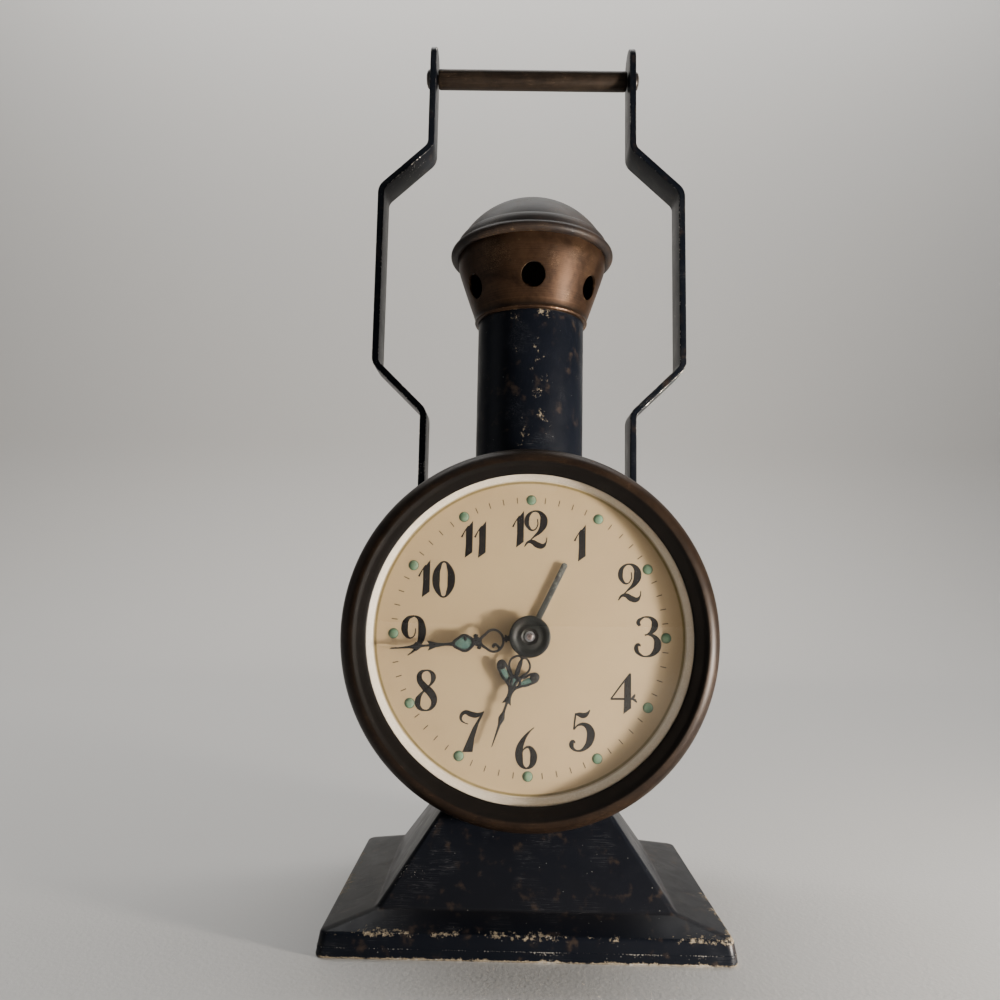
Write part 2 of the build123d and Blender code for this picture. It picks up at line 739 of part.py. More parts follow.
def strap_band():
    """The bent strip of the right-hand strap, without its foot."""
    near = STRAP_NEAR_X
    far = STRAP_FAR_X
    start_z = DRUM_Z + sqrt(DRUM_R ** 2 - near ** 2) - 4.0
    tip_z = STRAP_TIP_Z - STRAP_W / 2
    path = FilletPolyline(
        (near, STRAP_Y, start_z), (near, STRAP_Y, STRAP_KNEE_LOW), (far, STRAP_Y, STRAP_ELBOW_LOW),
        (far, STRAP_Y, STRAP_ELBOW_HIGH), (near, STRAP_Y, STRAP_KNEE_HIGH), (near, STRAP_Y, tip_z),
        radius=STRAP_BEND_R)
    section = Plane(origin=(near, STRAP_Y, start_z), z_dir=(0, 0, 1)) * Rectangle(STRAP_T, STRAP_W)
    tip = Pos(near, STRAP_Y, tip_z) * Rot(0, 90, 0) * Cylinder(STRAP_W / 2, STRAP_T)
    return sweep(section, path) + tip


def strap(side):
    """One strap: bent band, riveted foot along the drum, and the rod's hole."""
    band = strap_band() - rod(DRUM_R, -BASE_D, BASE_D)
    start = foot_start()
    arc = [(90 - start - FOOT_ARC * step / 10) for step in range(11)]
    outer = [polar(DRUM_R + 3 * STRAP_T, angle) for angle in arc]
    wedge = outline((0, 0), *outer)
    foot_face = (Circle(DRUM_R + STRAP_T) - Circle(DRUM_R)) & wedge
    foot = slab(foot_face, STRAP_Y - STRAP_W / 2, STRAP_Y + STRAP_W / 2)
    whole = band + foot
    for place in rivet_places()[2:]:
        whole -= place * Cylinder(RIVET_R, 12)
    whole -= Pos(STRAP_NEAR_X, STRAP_Y, GRIP_Z) * Rot(0, 90, 0) * Cylinder(ROD_R, 4 * STRAP_T)
    return whole if side > 0 else mirror(whole, about=Plane.YZ)


def handle_strap_left():
    return strap(-1)


def handle_strap_right():
    return strap(1)


def handle_foot_rivets():
    rivets = []
    for place in rivet_places():
        span = STRAP_T + DRUM_WALL
        sag = RIVET_HEAD_R ** 2 / DRUM_IN
        shank = Pos(0, 0, STRAP_T - span / 2) * Cylinder(RIVET_R, span + 2 * sag)
        outer = Pos(0, 0, STRAP_T) * button_head(RIVET_HEAD_R, RIVET_HEAD_H)
        inner = Pos(0, 0, -DRUM_WALL - sag) * Rot(180, 0, 0) * button_head(RIVET_HEAD_R, RIVET_HEAD_H / 2)
        rivets.append(place * (shank + outer + inner))
    return group(rivets)


def button_head(radius, height):
    """A low domed head that stands on Z=0."""
    edges = Line((0, 0), (radius, 0)) + Line((0, height), (0, 0))
    edges += ThreePointArc((radius, 0), cap_arc(radius, 0, height), (0, height))
    return revolve(Plane.XZ * make_face(edges), Axis.Z)


def handle_rod():
    """The rod through the grip, headed outside each strap."""
    outside = STRAP_NEAR_X + STRAP_T / 2
    bar = Rot(0, 90, 0) * Cylinder(ROD_R, 2 * outside)
    for side in (-1, 1):
        bar += Pos(side * outside, 0, 0) * Rot(0, side * 90, 0) * button_head(ROD_HEAD_R, ROD_HEAD_H)
    return Pos(0, STRAP_Y, GRIP_Z) * bar


def grip_tube():
    """The rolled tube that turns on the rod."""
    length = 2 * (STRAP_NEAR_X - STRAP_T / 2 - FREE)
    face = Circle(GRIP_R) - Circle(ROD_R + RUN)
    return Pos(-length / 2, STRAP_Y, GRIP_Z) * Rot(0, 90, 0) * extrude(face, length)


# Movement frame

def pivot_holes():
    """Spots and radii of the holes that both plates share."""
    small = PIVOT_R + RUN
    holes = [(spot, small) for spot in (
        THIRD_SPOT, FOURTH_SPOT, ESCAPE_SPOT, ALARM_ESCAPE_SPOT, LEVER_SPOT, BALANCE_SPOT)]
    holes.append(((0.0, 0.0), CENTRE_R + RUN))
    holes.append((SETTER_SPOT, SETTER_R + RUN))
    holes += [(polar(PILLAR_CIRCLE, angle), STUD_R) for angle in PILLAR_ANGLES]
    return holes


def drilled(plate, holes):
    """A plate with a hole at each spot."""
    for spot, radius in holes:
        plate -= rod(radius, PLATE_FRONT - 1, PLATE_BACK + 5, spot)
    return plate


def front_plate():
    """Front plate with the fixed post of the minute wheel."""
    plate = rod(PLATE_R, PLATE_FRONT, PLATE_FRONT_IN)
    holes = pivot_holes()
    holes += [(spot, WINDER_PIVOT_R + RUN) for spot in (TIME_SPOT, ALARM_SPOT)]
    holes.append((HAMMER_SPOT, PIVOT_R + RUN))
    holes += [(polar(HOLDER_SCREW_CIRCLE, angle), SCREW_R) for angle in HOLDER_SCREW_ANGLES]
    plate = drilled(plate, holes)
    return plate + rod(minute_post_r(), HOUR_WHEEL_Y - 0.4, PLATE_FRONT, MINUTE_SPOT)


def minute_post_r():
    """Radius of the post, under the roots of the minute wheel's pinion."""
    return MOTION_M * (MINUTE_LEAVES / 2 - TOOTH_IN) - 0.6


def back_plate():
    """Back plate with the boss that the regulator turns on."""
    plate = rod(PLATE_R, PLATE_BACK_IN, PLATE_BACK)
    plate += rod(REGULATOR_BOSS_R, PLATE_BACK, PLATE_BACK + REGULATOR_BOSS_H, BALANCE_SPOT)
    holes = pivot_holes()
    holes += [(spot, WINDER_R + RUN) for spot in (TIME_SPOT, ALARM_SPOT)]
    holes.append((HAMMER_SPOT, ARBOR_R + RUN))
    holes.append((BELL_SPOT, SCREW_R))
    return drilled(plate, holes)


def plate_pillars():
    pillars = []
    for angle in PILLAR_ANGLES:
        spot = polar(PILLAR_CIRCLE, angle)
        body = rod(PILLAR_R, PLATE_FRONT_IN, PLATE_BACK_IN, spot)
        pillars.append(body + rod(STUD_R, PLATE_FRONT, PLATE_BACK + NUT_H + 0.4, spot))
    return group(pillars)


def pillar_nuts():
    spots = [polar(PILLAR_CIRCLE, angle) for angle in PILLAR_ANGLES if angle not in POST_ANGLES]
    face = hexagon(NUT_ACROSS, STUD_R)
    return group([slab(face, PLATE_BACK, PLATE_BACK + NUT_H, spot) for spot in spots])


def cover_posts():
    """Hexagon posts from the back plate to the rear cover."""
    posts = []
    for spot in post_spots():
        post = slab(RegularPolygon(NUT_ACROSS / 2, 6, major_radius=False), PLATE_BACK, COVER_IN, spot)
        post -= rod(STUD_R, PLATE_BACK - 1, PLATE_BACK + NUT_H + 0.4, spot)
        posts.append(post - rod(SCREW_R, COVER_OUT - COVER_SCREW_L, COVER_IN + 1, spot))
    return group(posts)


def movement_holder():
    """The ring inside the drum that the front plate is screwed to."""
    ring = rod(DRUM_IN, PLATE_FRONT - PLATE_T, PLATE_FRONT, bore=HOLDER_IN_R)
    for angle in HOLDER_SCREW_ANGLES:
        ring -= rod(SCREW_R, PLATE_FRONT - 3, PLATE_FRONT + 3, polar(HOLDER_SCREW_CIRCLE, angle))
    return ring


def holder_screws():
    spots = [polar(HOLDER_SCREW_CIRCLE, angle) for angle in HOLDER_SCREW_ANGLES]
    return group([screw(spot, PLATE_FRONT - PLATE_T, 2.2, -1) for spot in spots])


# Winding arbors, mainsprings and great wheels

def winding_arbor(spot):
    """Arbor with its ratchet wheel, long enough to carry the key."""
    shaft = rod(WINDER_R, PLATE_FRONT_IN + END_SHAKE, KEY_Y + KEY_GRIP_L, spot)
    shaft += rod(WINDER_PIVOT_R, PLATE_FRONT, PLATE_FRONT_IN + 1, spot)
    return shaft + slab(saw_toothed(RATCHET_TEETH, RATCHET_R, 0.9), RATCHET_Y, RATCHET_Y + RATCHET_T, spot)


def time_winding_arbor():
    return winding_arbor(TIME_SPOT)


def alarm_winding_arbor():
    return winding_arbor(ALARM_SPOT)


def key(spot):
    """A two-winged key on the end of a winding arbor."""
    hub = rod(KEY_HUB_R, KEY_Y, KEY_Y + KEY_L * 0.75, spot)
    wing_l = KEY_L * 0.85
    wing_face = RectangleRounded(KEY_W, wing_l, KEY_L * 0.36)
    for side in (-1, 1):
        wing_face -= Pos(side * KEY_W * 0.30, 0) * Circle(KEY_L * 0.17)
    wing_y = KEY_END - wing_l / 2
    wing = extrude(Pos(spot[0], wing_y, DRUM_Z + spot[1] - KEY_T / 2) * wing_face, KEY_T)
    return hub + wing - rod(WINDER_R, KEY_Y - 1, KEY_Y + KEY_GRIP_L, spot)


def time_key():
    return key(TIME_SPOT)


def alarm_key():
    return key(ALARM_SPOT)


def mainspring(spot):
    face = spiral(WINDER_R + 0.5, MAINSPRING_R, MAINSPRING_TURNS, MAINSPRING_T)
    return slab(face, MAINSPRING_Y, MAINSPRING_Y + MAINSPRING_W, spot)


def time_mainspring():
    return mainspring(TIME_SPOT)


def alarm_mainspring():
    return mainspring(ALARM_SPOT)


def great_wheel(teeth, phase, spot):
    """Great wheel, loose on the winding arbor, with its click."""
    face = wheel_face(teeth, GREAT_M, phase) - Circle(WINDER_R + RUN)
    wheel = slab(face, GREAT_Y, GREAT_Y + GREAT_T, spot)
    click_spot = polar(RATCHET_R + 4.5, 110.0, spot)
    stud = rod(1.0, GREAT_Y + GREAT_T, RATCHET_Y + RATCHET_T, click_spot)
    pawl = outline((0, -0.9), (5.2, -0.5), (5.2, 0.3), (0, 1.1))
    reach = slab(Rot(0, 0, 228) * pawl, RATCHET_Y, RATCHET_Y + RATCHET_T, click_spot)
    guard = rod(RATCHET_R + FREE, RATCHET_Y - 1, RATCHET_Y + RATCHET_T + 1, spot)
    return wheel + stud + (reach - guard)


def time_great_wheel():
    phase = meshed(0.0, CENTRE_LEAVES, TIME_GREAT_DIR, GREAT_TEETH)
    return great_wheel(GREAT_TEETH, phase, TIME_SPOT)


def alarm_great_wheel():
    """A little smaller than the time side's, so that it clears the centre pinion."""
    return great_wheel(ALARM_GREAT_TEETH, 0.0, ALARM_SPOT)


# Going train

def centre_wheel():
    """Centre wheel and pinion, driven round by the great wheel and slipping on the arbor."""
    leaves = slab(toothed(CENTRE_LEAVES, GREAT_M), GREAT_Y - 0.4, GREAT_Y + GREAT_T + 0.5)
    sleeve = rod(CENTRE_R + 0.8, GREAT_Y - 0.4, CENTRE_Y + WHEEL_T + 0.6)
    wheel = slab(wheel_face(CENTRE_TEETH, CENTRE_M), CENTRE_Y, CENTRE_Y + WHEEL_T)
    return leaves + sleeve + wheel - rod(CENTRE_R + RUN, PLATE_FRONT, PLATE_BACK)


def third_wheel():
    leaves_phase = meshed(0.0, CENTRE_TEETH, THIRD_DIR, THIRD_LEAVES)
    shaft = arbor(THIRD_SPOT) + pinion(THIRD_LEAVES, CENTRE_M, leaves_phase, CENTRE_Y, THIRD_SPOT)
    return shaft + slab(wheel_face(THIRD_TEETH, THIRD_M), THIRD_Y, THIRD_Y + WHEEL_T, THIRD_SPOT)


def fourth_wheel():
    leaves_phase = meshed(0.0, THIRD_TEETH, FOURTH_DIR, FOURTH_LEAVES)
    shaft = arbor(FOURTH_SPOT) + pinion(FOURTH_LEAVES, THIRD_M, leaves_phase, THIRD_Y, FOURTH_SPOT)
    return shaft + slab(wheel_face(FOURTH_TEETH, FOURTH_M), FOURTH_Y, FOURTH_Y + WHEEL_T, FOURTH_SPOT)


def escape_wheel():
    leaves_phase = meshed(0.0, FOURTH_TEETH, ESCAPE_DIR, ESCAPE_LEAVES)
    shaft = arbor(ESCAPE_SPOT) + pinion(ESCAPE_LEAVES, FOURTH_M, leaves_phase, FOURTH_Y, ESCAPE_SPOT)
    face = saw_toothed(ESCAPE_TEETH, ESCAPE_R, 1.1) - windows(3.1, 0.9, 4)
    return shaft + slab(face, ESCAPE_Y, ESCAPE_Y + THIN_WHEEL_T, ESCAPE_SPOT)


def pallet_lever():
    """Lever with two upright pallet pins and a fork that stops short of the roller."""
    reach = LEVER_SPOT[0] - BALANCE_SPOT[0] - ROLLER_R - 0.6
    arm = outline((0, -0.9), (-reach, -0.45), (-reach, 0.45), (0, 0.9))
    for pin, inward in ((LEFT_PALLET, 0.4), (RIGHT_PALLET, -0.4)):
        arm += outline((0, 0.9), pin, (pin[0] + inward, pin[1] - 0.8), (0, -0.9))
    back = ESCAPE_Y + THIN_WHEEL_T
    lever = arbor(LEVER_SPOT) + slab(arm + Circle(1.3), ESCAPE_Y, back, LEVER_SPOT)
    for pin in (LEFT_PALLET, RIGHT_PALLET):
        spot = (LEVER_SPOT[0] + pin[0], LEVER_SPOT[1] + pin[1] - 0.2)
        lever += rod(PALLET_PIN_R, ESCAPE_Y - 1.0, back, spot)
    return lever


def balance_wheel():
    """Three-armed balance with its staff, roller and collet."""
    rim = Circle(BALANCE_R) - Circle(BALANCE_R - BALANCE_RIM)
    arm_l = BALANCE_R - BALANCE_RIM / 2
    for angle in (90.0, 210.0, 330.0):
        rim += Rot(0, 0, angle) * Pos(arm_l / 2, 0) * Rectangle(arm_l, BALANCE_ARM_W)
    wheel = slab(rim + Circle(1.6), BALANCE_Y, BALANCE_Y + BALANCE_T, BALANCE_SPOT)
    roller = rod(ROLLER_R, ESCAPE_Y, ESCAPE_Y + THIN_WHEEL_T, BALANCE_SPOT)
    collet = rod(COLLET_R, HAIRSPRING_Y, HAIRSPRING_Y + 1.0, BALANCE_SPOT)
    return arbor(BALANCE_SPOT) + wheel + roller + collet


def hairspring():
    face = spiral(COLLET_R + FREE, HAIRSPRING_R, HAIRSPRING_TURNS, HAIRSPRING_T)
    coil = slab(face, HAIRSPRING_Y + 0.2, HAIRSPRING_Y + 0.2 + HAIRSPRING_W, BALANCE_SPOT)
    stud_spot = polar(HAIRSPRING_R + HAIRSPRING_T / 2, 0.0, BALANCE_SPOT)
    return coil + rod(0.4, PLATE_FRONT_IN, HAIRSPRING_Y + 0.2 + HAIRSPRING_W, stud_spot)


def regulator():
    """Lever round the balance's boss, with a finger through the rear cover."""
    near = PLATE_BACK + FREE
    far = near + 0.8
    finger_spot = polar(REGULATOR_ARM, REGULATOR_DIR, BALANCE_SPOT)
    arm = Rot(0, 0, REGULATOR_DIR) * Pos(REGULATOR_ARM / 2, 0) * Rectangle(REGULATOR_ARM, 1.8)
    face = Circle(REGULATOR_BOSS_R + 1.6) + arm - Circle(REGULATOR_BOSS_R + RUN)
    finger = rod(0.9, near, COVER_OUT + 2.4, finger_spot)
    return slab(face, near, far, BALANCE_SPOT) + finger


# Motion work and hands

def centre_arbor():
    """The arbor that carries the minute hand, the cannon pinion and the setting knob."""
    shaft = rod(CENTRE_R, MINUTE_HAND_Y - 0.2, KEY_Y + KNOB_BORE_L)
    leaves_y = MINUTE_WHEEL_Y - 0.4
    return shaft + slab(toothed(CANNON_LEAVES, MOTION_M), leaves_y, leaves_y + WHEEL_T + 0.8)


def minute_wheel():
    wheel_phase = meshed(0.0, CANNON_LEAVES, MINUTE_DIR, MINUTE_TEETH)
    wheel_shape = wheel_face(MINUTE_TEETH, MOTION_M, wheel_phase)
    wheel = slab(wheel_shape, MINUTE_WHEEL_Y, MINUTE_WHEEL_Y + WHEEL_T, MINUTE_SPOT)
    leaves = slab(toothed(MINUTE_LEAVES, MOTION_M), HOUR_WHEEL_Y - 0.2, MINUTE_WHEEL_Y, MINUTE_SPOT)
    return wheel + leaves - rod(minute_post_r() + RUN, DIAL_BACK, PLATE_FRONT, MINUTE_SPOT)


def hour_wheel():
    phase = meshed(0.0, MINUTE_LEAVES, MINUTE_DIR + 180, HOUR_TEETH)
    wheel = slab(wheel_face(HOUR_TEETH, MOTION_M, phase), HOUR_WHEEL_Y, HOUR_WHEEL_Y + WHEEL_T)
    pipe = rod(HOUR_PIPE_R, HOUR_HAND_Y - 0.15, HOUR_WHEEL_Y + WHEEL_T)
    return wheel + pipe - rod(HOUR_BORE, DIAL_FACE - 6, PLATE_FRONT)


def alarm_wheel():
    back = ALARM_WHEEL_Y + THIN_WHEEL_T
    wheel = slab(wheel_face(ALARM_SET_TEETH, MOTION_M), ALARM_WHEEL_Y, back)
    pipe = rod(ALARM_PIPE_R, ALARM_HAND_Y - 0.15, back)
    return wheel + pipe - rod(ALARM_BORE, DIAL_FACE - 6, PLATE_FRONT)


def alarm_set_arbor():
    phase = meshed(0.0, ALARM_SET_TEETH, SETTER_DIR, SETTER_LEAVES)
    shaft = rod(SETTER_R, ALARM_WHEEL_Y - 0.2, KEY_Y + KNOB_BORE_L, SETTER_SPOT)
    leaves_face = toothed(SETTER_LEAVES, MOTION_M, phase)
    return shaft + slab(leaves_face, ALARM_WHEEL_Y - 0.1, ALARM_WHEEL_Y + WHEEL_T, SETTER_SPOT)


def setting_knob(spot, bore):
    """A ridged knob pressed on an arbor."""
    points = []
    for ridge in range(KNOB_RIDGES):
        middle = 360 * ridge / KNOB_RIDGES
        points += [polar(KNOB_R, middle), polar(KNOB_R - 0.45, middle + 180 / KNOB_RIDGES)]
    knob = slab(outline(*points), KEY_Y, KEY_Y + KNOB_L, spot)
    return knob - rod(bore, KEY_Y - 1, KEY_Y + KNOB_BORE_L, spot)


def time_set_knob():
    return setting_knob((0.0, 0.0), CENTRE_R)


def alarm_set_knob():
    return setting_knob(SETTER_SPOT, SETTER_R)


def oval_ring(length, width, line):
    """A thin oval loop lying along X."""
    return Ellipse(length / 2, width / 2) - Ellipse(length / 2 - line, width / 2 - line)


def clock_turn(face, angle):
    """Turns a hand drawn along +X to a clock angle, clockwise from twelve."""
    return Rot(0, 0, 90.0 - angle) * face


def minute_hand():
    """Open loop, knot, lume eye, barb, spade and needle."""
    face = Circle(HUB_R * 0.7) + moved(Rectangle(3.4, 1.0), 4.8)
    face += moved(oval_ring(5.8, 4.2, 0.55), 8.9)
    face += moved(Ellipse(0.9, 0.9), 12.6) + moved(Rectangle(1.6, 1.8), 12.4)
    face += moved(Ellipse(2.75, 1.9), 16.0)
    face += outline((18.2, 0.55), (22.3, 0.45), (22.5, 1.15), (23.9, 0.55), (24.9, 0.40),
                    (25.9, 0.60), (27.0, 1.0), (28.9, 0.35), (MINUTE_TIP, 0.08),
                    (MINUTE_TIP, -0.08), (28.9, -0.35), (27.0, -1.0), (25.9, -0.60),
                    (24.9, -0.40), (23.9, -0.55), (22.5, -1.15), (22.3, -0.45), (18.2, -0.55))
    face -= Circle(CENTRE_R)
    return slab(clock_turn(face, MINUTE_ANGLE), MINUTE_HAND_Y, MINUTE_HAND_Y + HAND_T)


def hour_hand():
    """Two petals, two curled side lobes, barb, diamond and needle."""
    face = Circle(HOUR_PIPE_R + 1.6)
    for side in (-1, 1):
        face += moved(oval_ring(6.4, 2.9, 0.5), 6.6, side * 1.5, side * 10)
        face += moved(Ellipse(2.3, 1.15), 9.5, side * 3.1, side * 32)
    face += moved(Ellipse(1.7, 1.2), 11.0) + moved(Rectangle(5.0, 1.3), 9.5)
    face += outline((11.5, 0.7), (14.6, 0.5), (15.5, 1.2), (16.6, 0.6), (18.3, 0.45),
                    (20.4, 1.05), (22.4, 0.35), (HOUR_TIP, 0.08), (HOUR_TIP, -0.08),
                    (22.4, -0.35), (20.4, -1.05), (18.3, -0.45), (16.6, -0.6),
                    (15.5, -1.2), (14.6, -0.5), (11.5, -0.7))
    face -= Circle(HOUR_PIPE_R)
    return slab(clock_turn(face, HOUR_ANGLE), HOUR_HAND_Y, HOUR_HAND_Y + HAND_T)


def alarm_hand():
    """A plain baton."""
    face = Circle(ALARM_PIPE_R + 1.2) + moved(Rectangle(ALARM_TIP, ALARM_HAND_W), ALARM_TIP / 2)
    face -= Circle(ALARM_PIPE_R)
    return slab(clock_turn(face, ALARM_ANGLE), ALARM_HAND_Y, ALARM_HAND_Y + HAND_T)


def hand_hub():
    """The black cap on the minute hand, dished round a centre pin."""
    back = MINUTE_HAND_Y
    hub = rod(HUB_R, back - HUB_T, back)
    hub -= rod(HUB_RECESS_R, back - HUB_T - 1, back - HUB_T * 0.5)
    hub += rod(0.8, back - HUB_T - 0.1, back)
    return hub - rod(CENTRE_R, back - 0.2, back + 1)


# Alarm work

def alarm_escape_wheel():
    phase = meshed(0.0, ALARM_GREAT_TEETH, ALARM_ESCAPE_DIR, ALARM_LEAVES)
    leaves_face = toothed(ALARM_LEAVES, GREAT_M, phase)
    leaves = slab(leaves_face, GREAT_Y - 0.4, GREAT_Y + GREAT_T + 0.4, ALARM_ESCAPE_SPOT)
    face = saw_toothed(ALARM_ESCAPE_TEETH, ALARM_ESCAPE_R, 1.4)
    wheel = slab(face, ALARM_ESCAPE_Y, ALARM_ESCAPE_Y + WHEEL_T, ALARM_ESCAPE_SPOT)
    return arbor(ALARM_ESCAPE_SPOT) + leaves + wheel


def alarm_hammer():
    """Verge between the plates and a striking arm behind the back plate."""
    shaft = rod(ARBOR_R, PLATE_FRONT_IN + END_SHAKE, BELL_Y + 2.6, HAMMER_SPOT)
    shaft += rod(PIVOT_R, PLATE_FRONT, PLATE_FRONT_IN + 1, HAMMER_SPOT)
    verge = Circle(1.5)
    for angle in (60.0, 340.0):
        tip = polar(ALARM_ESCAPE_R + 1.3, angle, ALARM_ESCAPE_SPOT)
        reach = (tip[0] - HAMMER_SPOT[0], tip[1] - HAMMER_SPOT[1])
        length = hypot(*reach)
        side = (-reach[1] / length * 0.6, reach[0] / length * 0.6)
        verge += outline(side, (reach[0] + side[0], reach[1] + side[1]), reach, (-side[0], -side[1]))
    body = shaft + slab(verge, ALARM_ESCAPE_Y, ALARM_ESCAPE_Y + WHEEL_T, HAMMER_SPOT)
    arm = Rot(0, 0, HAMMER_DIR) * Pos(HAMMER_ARM / 2, 0) * Rectangle(HAMMER_ARM, 1.1)
    tail = Rot(0, 0, 275) * Pos(3.0, 0) * Rectangle(6.0, 1.1)
    body += slab(arm + tail + Circle(1.5), BELL_Y + 1.0, BELL_Y + 2.0, HAMMER_SPOT)
    return body + rod(HAMMER_HEAD_R, BELL_Y + 0.3, BELL_Y + 3.3, HAMMER_HEAD_SPOT)


def alarm_bell():
    """A small cup bell, open towards the plate."""
    low = BELL_Y
    high = BELL_Y + BELL_H
    face = outline(
        (BELL_R, low), (BELL_R - 0.6, high - 1.5), (BELL_R - 2.4, high), (SCREW_R, high),
        (SCREW_R, high - BELL_WALL), (BELL_R - 2.8, high - BELL_WALL),
        (BELL_R - 0.6 - BELL_WALL, high - 1.9), (BELL_R - BELL_WALL, low))
    return turned(face, BELL_SPOT)


def bell_post():
    """The post and screw that carry the bell on the back plate."""
    crown = BELL_Y + BELL_H
    post = rod(2.0, PLATE_BACK, crown - BELL_WALL, BELL_SPOT)
    post += rod(SCREW_R, PLATE_BACK_IN, crown + 0.2, BELL_SPOT)
    return post + rod(SCREW_HEAD_R, crown, crown + SCREW_HEAD_H, BELL_SPOT)


def stop_button():
    """Push button that stands beside the hammer's tail when it is pressed in."""
    tip = BELL_Y + 2.0 + 1.2
    stem = rod(BUTTON_R, tip, COVER_OUT + BUTTON_TRAVEL + 0.6, BUTTON_SPOT)
    knob_y = COVER_OUT + BUTTON_TRAVEL + 0.6
    collar_back = COVER_IN - BUTTON_GUIDE_L - FREE
    collar = rod(BUTTON_R + 0.8, collar_back - 0.8, collar_back, BUTTON_SPOT)
    return stem + collar + rod(BUTTON_KNOB_R, knob_y, knob_y + BUTTON_KNOB_L, BUTTON_SPOT)


PIECES = (
    base_shell, base_bolts, base_nuts, drum_case, rear_cover, rear_cover_screws,
    bezel, lens, dial_ring, dial_plate, dial_lume_dots,
    chimney_tube, chimney_cone, chimney_dome,
    handle_strap_left, handle_strap_right, handle_foot_rivets, handle_rod, grip_tube,
    front_plate, back_plate, plate_pillars, pillar_nuts, cover_posts, movement_holder, holder_screws,
    time_winding_arbor, alarm_winding_arbor, time_key, alarm_key, time_mainspring, alarm_mainspring,
    time_great_wheel, alarm_great_wheel, centre_wheel, third_wheel, fourth_wheel, escape_wheel,
    pallet_lever, balance_wheel, hairspring, regulator,
    centre_arbor, minute_wheel, hour_wheel, alarm_wheel, alarm_set_arbor, time_set_knob, alarm_set_knob,
    minute_hand, hour_hand, alarm_hand, hand_hub,
    alarm_escape_wheel, alarm_hammer, alarm_bell, bell_post, stop_button,
)


os.makedirs("parts", exist_ok=True)
for make in PIECES:
    export_step(Pos(0, -SHIFT_Y, 0) * make(), f"parts/{make.__name__}.step")
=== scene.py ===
"""Looks of a wind-up alarm clock shaped as a railway hand lantern, built round its CAD frame."""

import logging
import math
from contextlib import contextmanager
from dataclasses import dataclass
from enum import Enum
from typing import Callable, Iterable, Iterator, Optional, Sequence, Union

import bmesh
import bpy
from mathutils import Matrix, Vector


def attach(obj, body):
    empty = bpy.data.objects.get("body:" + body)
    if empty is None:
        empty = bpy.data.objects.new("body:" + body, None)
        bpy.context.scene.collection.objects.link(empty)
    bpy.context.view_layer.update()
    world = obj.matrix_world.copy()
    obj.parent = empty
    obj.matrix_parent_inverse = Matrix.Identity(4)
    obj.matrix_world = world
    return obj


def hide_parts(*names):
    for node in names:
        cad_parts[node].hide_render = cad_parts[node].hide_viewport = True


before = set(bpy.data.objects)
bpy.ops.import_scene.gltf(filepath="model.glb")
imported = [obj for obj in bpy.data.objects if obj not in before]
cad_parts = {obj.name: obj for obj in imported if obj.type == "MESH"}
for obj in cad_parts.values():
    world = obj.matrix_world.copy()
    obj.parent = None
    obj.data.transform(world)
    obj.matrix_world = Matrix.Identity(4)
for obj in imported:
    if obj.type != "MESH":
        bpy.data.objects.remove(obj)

log = logging.getLogger("lantern_clock")

MM = 0.001
FULL_TURN = 2.0 * math.pi

# Places in the CAD's frame, in mm
DRUM_Z = 69.7
DRUM_R = 43.5
CHIMNEY_Y = -1.0
STRAP_Y = 19.75
GRIP_Z = 245.6
DIAL_FACE = -29.05
TIME_KEY_SPOT = (-18.606, -6.772)
ALARM_KEY_SPOT = (18.606, -6.772)
SETTER_SPOT = (0.0, -15.0)
BUTTON_SPOT = (34.3, 8.5)

MERGE_GAP = 0.002
FULL_WEAR_BEND = 0.4
SOFT_ANGLE = 35.0
SENSOR_MM = 36.0

Pair = tuple[float, float]
Triple = tuple[float, float, float]
Piece = bpy.types.Object


def mm(x: float, y: float, z: float) -> Vector:
    """A place in millimetres, given to Blender in metres."""
    return Vector((x, y, z)) * MM


def tinted(colour: Triple, factor: float) -> Triple:
    """A colour made lighter or darker by a factor."""
    return tuple(factor * part for part in colour)


# Handling pieces

def only(piece: Piece) -> Piece:
    """Makes a piece the single selected and active object.

    Args:
        piece: The piece.

    Returns:
        The same piece.
    """
    bpy.ops.object.select_all(action="DESELECT")
    piece.select_set(True)
    bpy.context.view_layer.objects.active = piece
    return piece


def added(shape: Callable[..., object], **settings: object) -> Piece:
    """Adds a primitive at the origin.

    Args:
        shape: The operator that adds it.
        **settings: The operator's own settings.

    Returns:
        The new piece.
    """
    bpy.ops.object.select_all(action="DESELECT")
    shape(location=(0, 0, 0), **settings)
    return bpy.context.view_layer.objects.active


@contextmanager
def editing(piece: Piece, chosen: Callable[[Vector], bool]) -> Iterator[None]:
    """Opens the piece in edit mode.

    Args:
        piece: The mesh to edit.
        chosen: Says of a vertex's place, in mm, whether it starts selected.
    """
    only(piece)
    bpy.ops.object.mode_set(mode="EDIT")
    bpy.ops.mesh.select_mode(type="VERT")
    bpy.ops.mesh.select_all(action="DESELECT")
    mesh = bmesh.from_edit_mesh(piece.data)
    for vertex in mesh.verts:
        vertex.select_set(bool(chosen(vertex.co / MM)))
    mesh.select_flush(True)
    bmesh.update_edit_mesh(piece.data)
    yield
    bpy.ops.object.mode_set(mode="OBJECT")


def everything(place: Vector) -> bool:
    """Chooses every vertex."""
    return True


def pulled(x: float, y: float, z: float) -> None:
    """Extrudes what is selected by a step in mm."""
    bpy.ops.mesh.extrude_region_move(TRANSFORM_OT_translate={"value": mm(x, y, z)})


def modified(piece: Piece, kind: str, **settings: object) -> Piece:
    """Adds a modifier and applies it.

    Args:
        piece: The mesh that takes the modifier.
        kind: The modifier's type.
        **settings: The modifier's own settings.

    Returns:
        The same piece.
    """
    only(piece)
    modifier = piece.modifiers.new(kind.title(), kind)
    for name, value in settings.items():
        setattr(modifier, name, value)
    bpy.ops.object.modifier_apply(modifier=modifier.name)
    return piece


